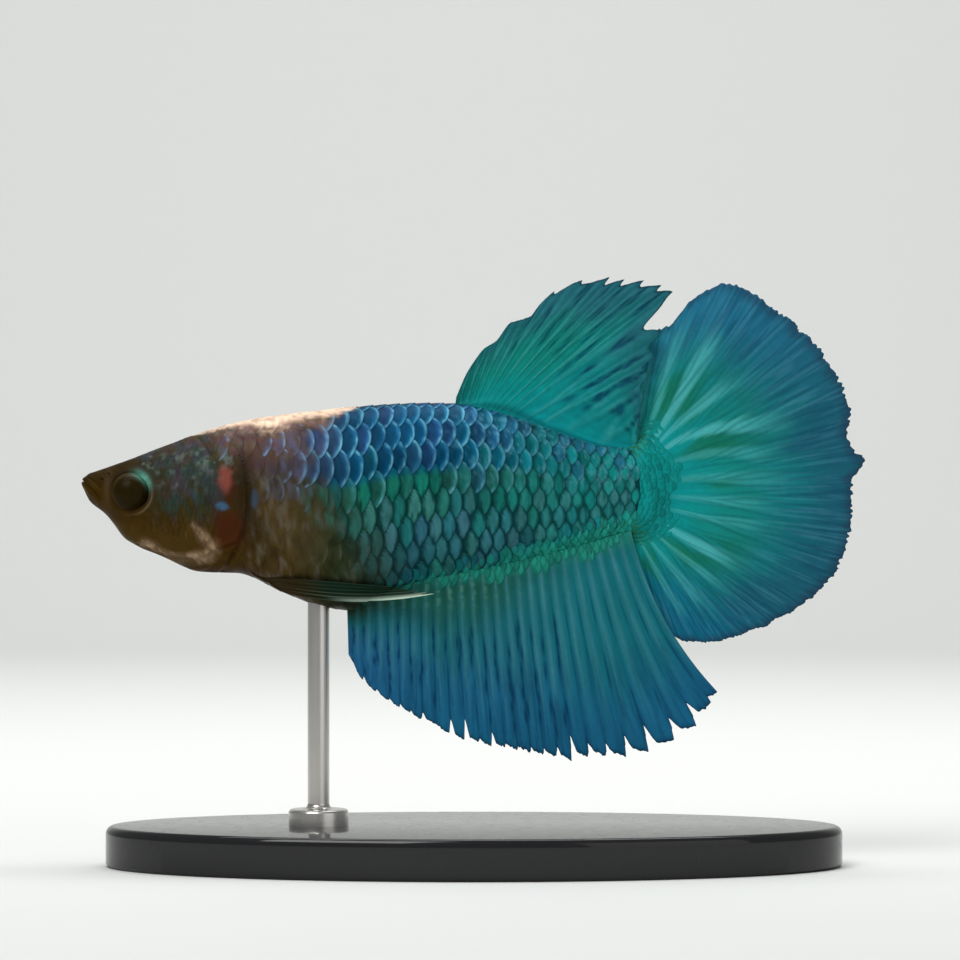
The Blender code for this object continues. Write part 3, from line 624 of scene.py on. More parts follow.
# ---- Meshes ------------------------------------------------------------------------------------
def mesh_piece(name, points, faces, material, colours=None, bake_uv=None):
    """A piece from points in mm and quads, with a colour and a place on the bake map for each point."""
    mesh = bpy.data.meshes.new(name)
    points = np.asarray(points, np.float32).reshape(-1, 3) * MM
    faces = np.asarray(faces, np.int32)
    if enclosed(points, faces) < 0:
        faces = faces[:, ::-1].copy()
    mesh.vertices.add(len(points))
    mesh.vertices.foreach_set("co", points.ravel())
    mesh.loops.add(faces.size)
    mesh.loops.foreach_set("vertex_index", faces.ravel())
    mesh.polygons.add(len(faces))
    mesh.polygons.foreach_set("loop_start", np.arange(0, faces.size, faces.shape[1], dtype=np.int32))
    mesh.update(calc_edges=True)
    if bake_uv is not None:
        bake_uv = np.asarray(bake_uv, np.float32).reshape(-1, 2)[faces.ravel()]
    return riding_piece(mesh, material, colours, bake_uv)


def riding_piece(mesh, material, colours, corner_uv):
    """The mesh as a smooth piece on the one body, with its colours and its places on the bake map."""
    mesh.polygons.foreach_set("use_smooth", np.full(len(mesh.polygons), True))
    if colours is not None:
        rgba = np.ones((len(mesh.vertices), 4), np.float32)
        rgba[:, :3] = np.clip(np.asarray(colours).reshape(-1, 3), 0.0, 1.0)
        mesh.color_attributes.new("tint", "FLOAT_COLOR", "POINT").data.foreach_set("color", rgba.ravel())
    if corner_uv is not None:
        mesh.uv_layers.new(name="OFBake").data.foreach_set("uv", corner_uv.ravel())
    piece = bpy.data.objects.new(mesh.name, mesh)
    bpy.context.scene.collection.objects.link(piece)
    mesh.materials.append(material)
    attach(piece, ROOT)
    return piece


def enclosed(points, quads):
    """The volume inside closed quads, below 0 where they are inside out."""
    a, b, c, d = (points[quads[:, i]].astype(float) for i in range(4))
    volume = np.einsum("ij,ij->i", a, np.cross(b, c)).sum()
    volume += np.einsum("ij,ij->i", a, np.cross(c, d)).sum()
    return volume / 6


def grid_quads(rows, columns, offset=0, wrap=False):
    """Quads over rows x columns points, counted row by row. wrap joins the last column to the first."""
    i = np.arange(rows - 1)[:, None]
    j = np.arange(columns if wrap else columns - 1)[None, :]
    k = (j + 1) % columns
    near, far = i * columns, (i + 1) * columns
    return stacked(near + j, near + k, far + k, far + j).reshape(-1, 4) + offset


def slab_quads(rows, columns):
    """Two grids of points, an upper and a lower, closed along their four edges."""
    count = rows * columns
    upper = grid_quads(rows, columns)
    lower = grid_quads(rows, columns, count)[:, ::-1]
    ring = np.concatenate([
        np.arange(columns - 1), np.arange(rows - 1) * columns + columns - 1,
        count - 1 - np.arange(columns - 1), (rows - 1 - np.arange(rows - 1)) * columns,
    ])
    after = np.roll(ring, -1)
    sides = np.stack([after, ring, ring + count, after + count], axis=-1)
    return np.concatenate([upper, lower, sides])


# ---- Materials ---------------------------------------------------------------------------------
def new_material(name, roughness, metallic=0.0, coat=0.0, coat_roughness=0.1):
    """A material, its node tree and its shader."""
    made = bpy.data.materials.new(name)
    made.use_nodes = True
    shader = made.node_tree.nodes["Principled BSDF"]
    shader.inputs["Roughness"].default_value = roughness
    shader.inputs["Metallic"].default_value = metallic
    shader.inputs["Coat Weight"].default_value = coat
    shader.inputs["Coat Roughness"].default_value = coat_roughness
    shader.inputs["Specular IOR Level"].default_value = 0.04
    return made, made.node_tree, shader


def node(tree, kind, **values):
    """A new node, with values for its inputs or its settings."""
    made = tree.nodes.new(kind)
    for key, value in values.items():
        if key in made.inputs:
            made.inputs[key].default_value = value
        else:
            setattr(made, key, value)
    return made


def grain_node(tree, scale, detail, stretch=None):
    """Noise from 0 to 1 in the piece's own space, with its x, y and z stretched first where asked."""
    place = node(tree, "ShaderNodeTexCoord").outputs["Object"]
    if stretch:
        stretched = node(tree, "ShaderNodeMapping", Scale=stretch)
        tree.links.new(place, stretched.inputs["Vector"])
        place = stretched.outputs["Vector"]
    grain = node(tree, "ShaderNodeTexNoise", Scale=scale, Detail=detail)
    tree.links.new(place, grain.inputs["Vector"])
    return grain.outputs["Fac"]


def spread_node(tree, value, low, high):
    """A value from 0 to 1 as one from low to high."""
    made = node(tree, "ShaderNodeMapRange", **{"To Min": low, "To Max": high})
    tree.links.new(value, made.inputs["Value"])
    return made.outputs["Result"]


def bump_node(tree, shader, height, strength, depth):
    """Bumps up to depth in mm where height goes from 0 to 1."""
    bump = node(tree, "ShaderNodeBump", Strength=strength, Distance=depth * MM)
    tree.links.new(height, bump.inputs["Height"])
    tree.links.new(bump.outputs["Normal"], shader.inputs["Normal"])


def tinted_material(name, roughness, metallic=0.0, size=0.1, depth=0.012, mottle=0.12):
    """A material that takes its colour from the mesh, mottled and bumped by fine noise."""
    made, tree, shader = new_material(name, roughness, metallic)
    tint = node(tree, "ShaderNodeAttribute", attribute_name="tint")
    grain = grain_node(tree, 1.0 / (size * MM), 3.0)
    scaled = node(tree, "ShaderNodeVectorMath", operation="SCALE")
    tree.links.new(tint.outputs["Color"], scaled.inputs[0])
    tree.links.new(spread_node(tree, grain, 1.0 - mottle, 1.0 + mottle), scaled.inputs["Scale"])
    tree.links.new(scaled.outputs["Vector"], shader.inputs["Base Color"])
    bump_node(tree, shader, grain, 1.0, depth)
    return made


def fin_material(name):
    """A fin's skin, with a coarser grain than the body's."""
    return tinted_material(name, 0.5, size=0.35)


def clear_material(name, alpha):
    """A fin's skin that shows what is behind it."""
    made = tinted_material(name, 0.4, size=0.3, depth=0.006, mottle=0.1)
    made.node_tree.nodes["Principled BSDF"].inputs["Alpha"].default_value = alpha
    return made


# ---- Skin and scales ---------------------------------------------------------------------------
def make_skin():
    """The whole body's skin, closed at the snout and at the tail stalk."""
    rings, around = SKIN.point.shape[:2]
    points = np.concatenate([SKIN.point.reshape(-1, 3), SKIN.point[[0, -1]].mean(axis=1)])
    quads = grid_quads(rings, around, wrap=True)[:, ::-1]
    j = np.arange(around)
    k, last_ring = (j + 1) % around, (rings - 1) * around
    snout, stalk_end = rings * around, rings * around + 1
    triangles = np.concatenate([stacked(j, k, snout), stacked(k + last_ring, j + last_ring, stalk_end)])
    mesh = bpy.data.meshes.new("skin")
    mesh.from_pydata((points * MM).tolist(), [], quads.tolist() + triangles.tolist())
    material = tinted_material("skin", 0.5, size=0.12, depth=0.02, mottle=0.18)
    places = np.concatenate([ring_map(), cap_map(around)]).astype(np.float32)
    piece = riding_piece(mesh, material, skin_colours(points), places)
    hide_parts("head", "jaw_lower", "gill_cover_left", "gill_cover_right", "trunk", "tail_stalk")


def ring_map():
    """Places on the bake map for the corners of the skin's quads."""
    place = 0.01 + 0.98 * stacked(length_share(SKIN.x)[:, None], np.arange(SKIN.round + 1) / SKIN.round)
    near, far = place[:-1], place[1:]
    return np.stack([far[:, :-1], far[:, 1:], near[:, 1:], near[:, :-1]], axis=2).reshape(-1, 2)


def cap_map(around):
    """Places on the bake map for the corners of the triangles that close the skin's two ends."""
    place = [[(end, across) for across in (0.2, 0.21, 0.205)] for end in (0.004, 0.996)]
    return np.array(place).repeat(around, axis=0).reshape(-1, 2)


def rear_edge(across):
    """How far a scale's round rear edge lies ahead of its hindmost place."""
    return -PLATE_ROUND * (1 - np.sqrt(np.clip(1 - (across / PLATE_HALF) ** 2, 0, 1)))


def plate_shape(spacing, pitch, rows, columns):
    """For each scale, in mm: places along and across it, how far each is behind the front of what shows,
    before its rear edge and inside its leaf-shaped mark, and how raised it is, from 0 to 1."""
    across = PLATE_HALF * np.sin(np.linspace(-math.pi / 2, math.pi / 2, columns))[None, None, :]
    share = np.sin(np.linspace(0.0, math.pi / 2, rows))[None, :, None]
    size, ratio = spacing[:, None, None], (pitch / spacing)[:, None, None]
    rear, front = rear_edge(across), -(ratio + PLATE_HIDDEN)
    along = front + (rear - front) * share
    shown_from = np.maximum(rear - ratio, rear_edge(1 - np.abs(across)) - ratio / 2)
    slope = np.abs(across) / PLATE_HALF**2 / np.sqrt(np.clip(1 - (across / PLATE_HALF) ** 2, 0.05, 1))
    behind = (rear - along) / np.sqrt(1 + (PLATE_ROUND * slope) ** 2)
    middle = -0.5 * ratio - 0.08 * (across / 0.7) ** 2
    inside = 0.36 * ratio * (1 - (np.abs(across) / 0.72) ** 1.5) - np.abs(along - middle)
    raised = 1 - along / front - 0.16 * (across / PLATE_HALF) ** 2
    every, ahead = np.ones_like(along), along - shown_from
    return [part * every * size for part in (along, across, ahead, behind, inside)] + [raised * every]


def make_plates(name, sites, lay, lift, thick, colour_of, material, rows, columns):
    """Solid scales in one piece. A site's numbers: two for its place on the surface, the space between
    rows, the space along a row, and two for its place on the bake map."""
    count = len(sites)
    along, across, ahead, behind, inside, raised = plate_shape(sites[:, 2], sites[:, 3], rows, columns)
    lift, thick = (np.broadcast_to(value, count)[:, None, None] for value in (lift, thick))
    top = (lift + PLATE_SINK) * raised - PLATE_SINK
    edge = np.zeros((1, rows, 1))
    edge[0, -1] = 0.6
    upper = lay(sites, along, across, top - edge * thick).reshape(count, -1, 3)
    lower = lay(sites, along, across, top - thick).reshape(count, -1, 3)
    points = np.concatenate([upper, lower], axis=1)
    faces = slab_quads(rows, columns)[None] + (np.arange(count) * points.shape[1])[:, None, None]
    colour = colour_of(upper, *(part.reshape(count, -1) for part in (ahead, behind, inside)))
    # the lower faces get a darker copy of the colour: painted shade under each scale
    colours = np.concatenate([colour, colour * 0.6], axis=1)
    patch = stacked(along / along.min(), 0.5 + across / (2 * across.max())).reshape(count, -1, 2)
    uv = 0.02 + 0.96 * sites[:, None, 4:6] + (patch - 0.5) * 0.003
    mesh_piece(name, points, faces.reshape(-1, 4), material, colours, np.concatenate([uv, uv], axis=1))


def make_sheet_plates(name, sites, sheet, place, lift, thick, colour, material, rows, columns):
    """Scales on both faces of a fin. place gives u and v at lengths along and across from a scale's own."""
    for side, letter in ((1, "a"), (-1, "b")):

        def lay(sites, along, across, height, side=side):
            u, v = place(sites[:, 0, None, None], sites[:, 1, None, None], along, across)
            return sheet.lay(u, v, side, height)

        piece = f"{name}_{letter}"
        make_plates(piece, sites, lay, lift, thick, colour, material, rows, columns)


def lay_on_body(sites, along, across, height):
    """Points of scales over the skin, from places along and across each in mm."""
    x = np.clip(sites[:, 0, None, None] + along, SKIN.x[0] + 0.05, SKIN.x[-1] - 0.01)
    share = sites[:, 1, None, None] + across / np.interp(x, SKIN.x, SKIN.perimeter)
    return SKIN.lay(x, share, height)


def length_share(x):
    """0 at the snout, 1 at the end of the tail stalk."""
    return (x - SKIN.x[0]) / (SKIN.x[-1] - SKIN.x[0])


def body_lattice(first, last, rows, pitch_knots):
    """Staggered sites over the body, whose first two numbers are x and the share of the way round."""
    pitch_at, sites, x = smooth_curve(pitch_knots), [], first
    while x < last:
        pitch = float(pitch_at(x))
        spacing = float(np.interp(x, SKIN.x, SKIN.perimeter)) / rows
        for row in range(rows):
            sites.append((x + 0.5 * pitch * (row % 2), row / rows, spacing, pitch))
        x += pitch
    sites = np.array(sites)
    return np.column_stack([sites, np.clip(length_share(sites[:, 0]), 0, 1), sites[:, 1]])


def soft_gill(x, z):
    """The bare soft edge of the gill cover and the fold behind it."""
    gill = gill_distance(x, z)
    return (gill > PLATE_RADIUS - 0.2) & (gill < GILL_RADIUS + 0.75) & (x > -21.5) & (z < 30.6)


def has_head_scales(x, z):
    """Whether small scales grow here: on the cheek, the bony gill plate and the crown."""
    eye, gill = np.hypot(x - EYE_X, z - EYE_Z), gill_distance(x, z)
    face = (x > -24.6) & (eye > 2.3) & ((gill < PLATE_RADIUS - 0.1) | (z > 30.3)) & (x < -17.4)
    throat = z < 25.4 - 0.32 * (x + 25.0)
    return face & ~throat & ~soft_gill(x, z)


def has_body_scales(x, z):
    """Whether large scales grow here: behind the gill cover, clear of the fins' roots."""
    arm = np.hypot(x - ARM_X, (z - ARM_Z) / 1.5)
    behind = (gill_distance(x, z) > GILL_RADIUS + 1.3) | ((z > 30.3) & (x > -17.9))
    throat = (x < -16.8) & (z < 24.0)
    edge = (x > -7.6) & (z < bottom_line(x) + edge_band(x))
    return behind & ~throat & ~edge & (arm > 1.0)


def choose(sites, wanted):
    """The wanted sites, and their points on the skin."""
    roots = SKIN.lay(sites[:, 0], sites[:, 1], np.zeros(len(sites)))
    kept = wanted(roots[:, 0], roots[:, 2])
    return sites[kept], roots[kept]


def make_scales():
    """The coat: large scales on the body, small ones on the head and along the anal fin's base."""
    dice = np.random.default_rng(7)
    material = tinted_material("scales", 0.42, 0.15)
    make_body_scales(dice, material)
    make_head_scales(dice)
    make_edge_scales(dice, material)


def make_body_scales(dice, material):
    """The large scales, in four pieces."""
    sites, roots = choose(body_lattice(-19.6, STALK_END_X - 0.9, BODY_ROWS, BODY_PITCH), has_body_scales)
    sites[:, 0] += dice.uniform(-0.09, 0.09, len(sites))
    sites[:, 1] += dice.uniform(-0.002, 0.002, len(sites))
    shade = dice.uniform(0.0, 1.0, (len(sites), 4))
    lift = (0.045 + 0.032 * sites[:, 2]) * (1 - 0.7 * front_share(roots))
    thick = 0.03 + 0.008 * sites[:, 2]
    left, front = sites[:, 1] >= 0.5, sites[:, 0] < -3.0
    quarters = {
        "left_front": left & front,
        "left_rear": left & ~front,
        "right_front": ~left & front,
        "right_rear": ~left & ~front,
    }
    for name, chosen in quarters.items():
        colour = body_plate_colours(roots[chosen], shade[chosen])
        make_plates(
            f"scales_{name}", sites[chosen], lay_on_body, lift[chosen], thick[chosen], colour, material,
            15, 17,
        )


def make_head_scales(dice):
    """The small scales of cheek, gill plate and crown, in one piece."""
    material = tinted_material("head_scales", 0.5)
    sites = choose(body_lattice(-24.9, -17.2, HEAD_ROWS, HEAD_PITCH), has_head_scales)[0]
    sites[:, 0] += dice.uniform(-0.08, 0.08, len(sites))
    sites[:, 2] *= dice.uniform(0.9, 1.15, len(sites))
    colour = head_plate_colours(dice.uniform(0.0, 1.0, len(sites)))
    make_plates("scales_head", sites, lay_on_body, 0.019, 0.01, colour, material, 7, 8)


def make_edge_scales(dice, material):
    """The small bright scales along the anal fin's base, whose higher rows begin further back."""
    sites, above, row = [], 0.12, 0
    shares = np.linspace(0.5, 0.9, 400)
    while above < 1.9:
        x = -7.7 + 0.35 * (row % 2)
        while x < 12.4:
            size = edge_scale_size(x)
            heights = SKIN.lay(np.full(400, x), shares, np.zeros(400))[:, 2]
            share = float(np.interp(bottom_line(x) + above, heights, shares)) + dice.uniform(-0.003, 0.003)
            if above < edge_band(x) + dice.uniform(0.2, 0.6):
                for place in (share, 1 - share):
                    sites.append((x, place, size, PITCH_SHARE * size, length_share(x), place))
            x += PITCH_SHARE * size * dice.uniform(0.9, 1.1)
        above += 0.58 * edge_scale_size(x - 8.0 + 3.0 * row)
        row += 1
    sites = np.array(sites)
    sites[:, 2] *= dice.uniform(0.95, 1.2, len(sites))
    base = flank_colours(SKIN.lay(sites[:, 0], sites[:, 1], np.zeros(len(sites)))) * 1.25
    colour = edge_scale_colours(base * dice.uniform(0.75, 1.3, (len(sites), 1)))
    make_plates("scales_anal_base", sites, lay_on_body, 0.1, 0.025, colour, material, 7, 9)


def edge_scale_size(x):
    """The small scales' width in mm, less towards the tail."""
    return 0.82 - 0.26 * float(step(-2.0, 8.0, x))


def edge_scale_colours(base):
    """Round pale lenses with darker gaps."""

    def colour(points, ahead, behind, inside):
        lens = step(0.0, 0.12, behind) * step(-0.1, 0.08, ahead)
        lit = base[:, None] * (0.9 + 0.2 * noise(points, 0.25, 38))[..., None]
        return mix(base[:, None] * 0.62, lit, lens)

    return colour


def make_sheath_scales(sheet):
    """The scaled sheath over the root of the anal fin's rays, on both faces."""
    dice = np.random.default_rng(14)
    base_length = ANAL_BASE[1] - ANAL_BASE[0]
    sites, below, row = [], 0.0, 0
    while below < 1.3:
        x = -4.5 + 0.35 * (row % 2)
        while x < 11.0:
            size = edge_scale_size(x)
            u = (x - ANAL_BASE[0]) / base_length
            if below < sheath_depth(x) + dice.uniform(0.2, 0.5):
                v = (below + 0.12 * math.sin(37 * u)) / ANAL_RAY_LENGTH
                sites.append((u, v, size, PITCH_SHARE * size, u, 0.5 * below / ANAL_RAY_LENGTH))
            x += PITCH_SHARE * size * dice.uniform(0.9, 1.1)
        below += 0.36
        row += 1
    sites = np.array(sites)
    sites[:, 2] *= dice.uniform(0.95, 1.2, len(sites))
    colour = edge_scale_colours(linear("cyan") * 0.95 * dice.uniform(0.75, 1.25, (len(sites), 1)))
    material = tinted_material("sheath_scales", 0.45, 0.1)

    def place(u, v, along, across):
        return u + along / base_length, v + (across + 0.3 * along) / ANAL_RAY_LENGTH

    make_sheet_plates("scales_sheath", sites, sheet, place, 0.05, 0.02, colour, material, 7, 9)


def body_plate_colours(roots, shade):
    """Blue scales with pale rear rims above, and light leaf shapes on a darker lattice below, darkened along
    their edges partly by painted shade.
    """
    root_x, root_t = roots[:, 0], height_share(roots[:, 0], roots[:, 2])
    base = paint(
        flank_colours(roots + stacked(0, 0, 1.9 * (shade[:, 3] - 0.5))),
        ("violet", (shade[:, 2] > 0.75) * step(0.58, 0.7, root_t) * 0.4),
        ("lilac", 0.5 * step(-8.0, -11.5, root_x) * step(0.6, 0.75, root_t)),
    )
    lattice = mix(base * 0.58, "gap", 0.4 - 0.25 * step(0.0, 8.0, root_x))[:, None]
    low = 0.55 * shade[:, 1] * step(0.62, 0.5, root_t)
    base = paint(base, ("ash", low), (LIGHT, 0.8 + 0.4 * shade[:, 0]))[:, None]
    lone = (shade[:, 1] > 0.35) * step(0.52, 0.62, root_t) * step(0.95, 0.88, root_t)
    lone = (lone * step(-19.0, -16.5, root_x))[:, None]
    pale = step(0.53, 0.62, root_t + 0.1 * (shade[:, 1] - 0.5)) * (1 - step(0.0, 9.0, root_x) * 0.7)
    below = step(0.655, 0.62, root_t)[:, None]

    def flank(points, behind, inside, clear_of_edge_tint_and_shade, crest, grain, patch, light):
        x, z = points[..., 0], points[..., 2]
        t = height_share(x, z)
        leaf = mix(lattice, base * 1.12, step(-0.1, 0.1, inside))
        deep = mix(base * 0.55, base * 1.15, step(0.6, 0.15, behind + 0.4 * grain))
        rimmed = mix(deep, "blue_rim", np.clip(crest, 0, 0.85))
        glitter = step(0.55, 0.75, noise(points * [1.4, 1.0, 0.8], 0.3, 39, 2)) * step(-4.0, 2.0, x)
        under_blue = step(0.59, 0.63, t) * step(2.0, -3.0, x) * below
        ridge = step(0.5, 0.05, top_line(x) - z) * step(5.0, 1.0, x)
        return paint(
            mix(leaf, rimmed, pale[:, None] * np.ones_like(inside)),
            (LIGHT, light),
            ("blue_rim", 0.35 * glitter * step(0.45, 0.65, t)),
            (linear("blue") * (0.75 + 0.5 * patch)[..., None], 0.6 * under_blue),
            # darker along the scales' edges: partly their own dark edge, partly painted shade of the overlap,
            # less so near the back's ridge
            (LIGHT, 0.5 + 0.5 * (0.35 + 0.65 * clear_of_edge_tint_and_shade) * (1 - 0.7 * ridge)),
        )

    def colour(points, ahead, behind, inside):
        upright = points * [1.0, 1.0, 0.4]
        grain = noise(upright, 0.2, 34, 2) - 0.5
        patch, fleck = noise(points, 0.7, 35, 2), noise(upright, 0.16, 36, 2)
        brush = noise(points * [3.2, 1.0, 0.6], 0.45, 37, 2) - 0.5
        # 1 clear of the rear edge and of the overlap of the scale ahead; 0 along them, where the colour is
        # darkened partly as painted shade
        clear_of_edge_tint_and_shade = step(-0.02, 0.07, behind) * step(-0.08, 0.06, ahead)
        crest = bell(behind - 0.13 + 0.12 * grain, 0.09) * (0.15 + 0.95 * step(0.35, 0.7, fleck))
        crest = crest * (0.6 + 0.6 * patch)
        leaf = inside + 0.25 * grain + 0.3 * brush
        light = 0.68 + 0.36 * patch + 0.24 * fleck + 0.7 * brush
        glow = lone * step(0.35, 0.65, patch)
        head = paint(
            head_colours(points),
            # darker along the edges as painted shade of the overlap, with a random tone for each scale
            (LIGHT, (0.86 + 0.14 * clear_of_edge_tint_and_shade) * (0.88 + 0.24 * shade[:, :1])),
            (linear("lilac") * 0.7, 0.5 * glow * step(0.0, 0.2, ahead)),
            ("lone_rim", np.clip(1.2 * crest * glow, 0, 0.8)),
        )
        return paint(
            flank(points, behind, leaf, clear_of_edge_tint_and_shade, crest, grain, patch, light),
            (head, front_share(points)),
            # the pale nape band, partly a painted highlight on the top of the back
            (linear("nape") * (0.85 + 0.2 * patch)[..., None], nape_highlight_share(points)),
        )

    return colour


def head_plate_colours(shade):
    """The head's own markings, a little lighter or darker from one scale to the next, with painted shade
    along each scale's edges.
    """

    def colour(points, ahead, behind, inside):
        # darker towards each scale's rear edge and overlap: painted shade where the scales overlap
        edge = 0.82 + 0.18 * step(0.0, 0.07, behind) * step(-0.05, 0.06, ahead)
        base = head_colours(points) * (edge * (0.8 + 0.4 * shade[:, None]))[..., None]
        # the pale nape band, partly a painted highlight on the top of the back
        return mix(base, "nape", nape_highlight_share(points) * 0.85 * edge)

    return colour


# ---- Eyes --------------------------------------------------------------------------------------
def make_eyes():
    """Each eyeball: a dark pupil and iris under a clear coat, with a teal glint above and behind."""
    material, tree, shader = new_material("eye", 0.35, coat=0.012, coat_roughness=0.15)
    tint = node(tree, "ShaderNodeAttribute", attribute_name="tint")
    tree.links.new(tint.outputs["Color"], shader.inputs["Base Color"])
    rings, around = 60, 72
    polar = np.linspace(0.0, math.pi, rings)[:, None]
    turn = np.linspace(0.0, 2 * math.pi, around, endpoint=False)[None, :]
    out, outer_half = np.sin(polar), polar < math.pi / 2
    relief = 0.03 * (step(0.72, 0.64, out) - bell(out - 0.92, 0.04)) * outer_half
    for side, name in ((LEFT, "left"), (RIGHT, "right")):
        low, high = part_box(f"eye_{name}")
        centre, half = (low + high) / 2 / MM, (high - low) / 2 / MM
        x = centre[0] + half[0] * out * np.cos(turn)
        y = centre[1] + side * (half[1] * np.cos(polar) + relief)
        z = centre[2] + half[2] * out * np.sin(turn)
        faces = grid_quads(rings, around, wrap=True)[:, ::side]
        colours = eye_colours(out, turn)
        piece = mesh_piece(f"eye_{name}_ball", stacked(x, y, z), faces, material, colours)
        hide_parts(f"eye_{name}")


def eye_colours(out, turn):
    """A brown-black iris round a blacker pupil, with the glint's start on its upper rear rim."""
    rays = stacked(18 * np.cos(turn), 18 * np.sin(turn), out * 3)
    above, below = (np.angle(np.exp(1j * (turn - place))) for place in (GLINT_TURN, -0.9))
    return paint(
        "iris",
        ("iris_rim", noise(rays, 1.0, 51) * step(0.8, 0.95, out)),
        ("pupil", step(0.86, 0.78, out)),
        ("glint", np.clip(1.1 * bell(above, 0.5) * bell(out - 0.98, 0.14), 0, 0.85)),
        ("eye_light", 0.4 * bell(below, 0.9) * bell(out - 0.97, 0.03)),
    )


# ---- Fins: u runs from the first ray to the last, v from root to tip ---------------------------
DORSAL_RAYS = [  # u of each ray
    0.0, 0.05, 0.1, 0.165, 0.23, 0.305, 0.375, 0.46, 0.54, 0.6, 0.66, 0.715, 0.765, 0.84, 0.89, 0.93, 0.965,
    1.0,
]
DORSAL_ROOTS = [  # (u, how far along the base)
    (0.0, 0.0), (0.17, 0.09), (0.48, 0.17), (0.65, 0.23), (0.75, 0.3), (0.82, 0.36), (0.9, 0.48), (1.0, 1.0),
]
DORSAL_TIPS = [  # (u, x, z)
    (0.0, -1.3, 34.4), (0.05, -0.5, 36.2), (0.1, 0.8, 38.0), (0.165, 1.6, 38.5), (0.23, 2.75, 39.9),
    (0.305, 4.1, 40.3), (0.34, 5.0, 41.4), (0.375, 5.95, 42.2), (0.46, 8.0, 43.0), (0.54, 10.0, 43.2),
    (0.6, 11.1, 43.05), (0.66, 12.5, 42.95), (0.715, 13.8, 42.6), (0.765, 14.6, 42.1), (0.84, 13.6, 38.8),
    (0.92, 12.9, 36.2), (1.0, 12.0, 32.3),
]
DORSAL_NOTCH = [  # how deep the edge drops behind each ray's tip, as a share of its length
    (0.0, 0.0), (0.2, 0.012), (0.32, 0.015), (0.38, 0.06), (0.46, 0.05), (0.54, 0.085), (0.6, 0.07),
    (0.7, 0.06), (0.76, 0.05), (0.84, 0.09), (0.93, 0.13), (1.0, 0.05),
]
DORSAL_BASE, DORSAL_BOW, DORSAL_SWEEP = (-1.4, 11.9), 1.4, 1.1  # x of its ends, how far rays curve and lean
ROOT_DEPTH = 0.35  # how far dorsal and anal rays start inside the body
ANAL_TIPS = [  # (u, x, z)
    (0.0, -9.2, 15.5), (0.06, -8.1, 13.6), (0.13, -6.4, 12.2), (0.25, -4.0, 10.9), (0.41, 0.2, 9.0),
    (0.55, 3.5, 8.4), (0.68, 6.7, 8.0), (0.78, 9.8, 8.1), (0.86, 12.9, 8.8), (0.91, 15.2, 9.9),
    (0.957, 16.8, 11.2), (1.0, 17.8, 12.8),
]
ANAL_BOW = [(0.0, 0.0), (0.8, 0.2), (0.9, 0.9), (1.0, 1.8)]
ANAL_NOTCH = [  # how deep the edge is notched between rays, as a share of their length
    (0.0, 0.02), (0.3, 0.02), (0.36, 0.08), (0.47, 0.06), (0.52, 0.015), (0.63, 0.02), (0.68, 0.06),
    (0.84, 0.065), (0.93, 0.05), (1.0, 0.04),
]
ANAL_BASE, ANAL_SWEEP, ANAL_RAYS = (-9.3, 11.5), 1.3, np.linspace(0.0, 1.0, 26)
ANAL_RAY_LENGTH = 13.0  # about, where the sheath lies
FAN_RADIUS = [  # (degrees from straight up, length)
    (-12.0, 11.0), (-3.0, 11.4), (9.0, 12.4), (14.5, 14.7), (23.5, 16.6), (50.0, 16.7), (68.0, 16.6),
    (76.0, 15.7), (82.0, 15.6), (102.0, 15.6), (114.0, 15.5), (124.0, 14.7), (139.0, 13.6), (156.0, 12.4),
    (168.0, 11.3), (176.0, 9.6), (186.0, 8.6),
]
FAN_X, FAN_Z, FAN_SPAN = 12.5, 27.6, (-3.0, 176.0)
FAN_ROOT_X, FAN_ROOT_HALF, FAN_ROOT_BULGE = 11.4, 2.9, 1.75
FAN_RAY_LENGTH = 14.0  # about, at the scaled root
CAUDAL_RAYS, CAUDAL_SWEEP, CAUDAL_WAVE = np.linspace(-0.05, 1.08, 18), 0.6, 0.3
CAUDAL_BANDS = [  # degrees from straight up at the root and further out; half width; end; strength
    (6, 4, 4.0, 0.6, 0.3), (19, 14, 3.6, 0.7, 0.6), (29, 27, 4.6, 0.62, 0.9), (36, 43, 3.6, 0.55, 0.8),
    (44, 64, 4.4, 0.66, 0.9), (60, 76, 3.4, 0.6, 0.45), (78, 86, 4.5, 0.5, 0.4), (95, 96, 3.4, 0.45, 0.45),
    (108, 106, 3.4, 0.5, 0.5), (127, 126, 4.6, 0.52, 1.0), (141, 138, 3.0, 0.6, 0.55),
    (152, 150, 3.4, 0.65, 0.5), (164, 161, 2.8, 0.7, 0.5), (176, 174, 3.2, 0.7, 0.3),
]
PELVIC_ROOT = ((-15.1, 20.5), (-14.6, 21.2))  # (x, z) of the first and the last ray
PELVIC_TIP = ((-2.9, 20.0), (-6.0, 20.5))
PELVIC_BOW, PELVIC_LEAST_Y, PELVIC_RAYS = (-1.5, 0.1), 1.3, np.linspace(0.0, 1.0, 6)
PECTORAL_ROOT, PECTORAL_REACH, PECTORAL_ANGLES = ((-15.4, 26.0), (-15.6, 24.5)), 5.4, (22.0, -38.0)
PECTORAL_FLARE, PECTORAL_RAYS = 1.7, np.linspace(0.0, 1.0, 12)
PELVIC_STANDOFF, SIDE_FIN_STANDOFF = 0.4, 0.6


def tip_curves(tips):
    """The curves of x and of z over u through (u, x, z)."""
    return [smooth_curve([(tip[0], tip[axis]) for tip in tips]) for axis in (1, 2)]


dorsal_roots, dorsal_notch, fan_radius = map(smooth_curve, (DORSAL_ROOTS, DORSAL_NOTCH, FAN_RADIUS))
anal_bow, anal_notch = map(smooth_curve, (ANAL_BOW, ANAL_NOTCH))
(dorsal_x, dorsal_z), (anal_x, anal_z) = tip_curves(DORSAL_TIPS), tip_curves(ANAL_TIPS)


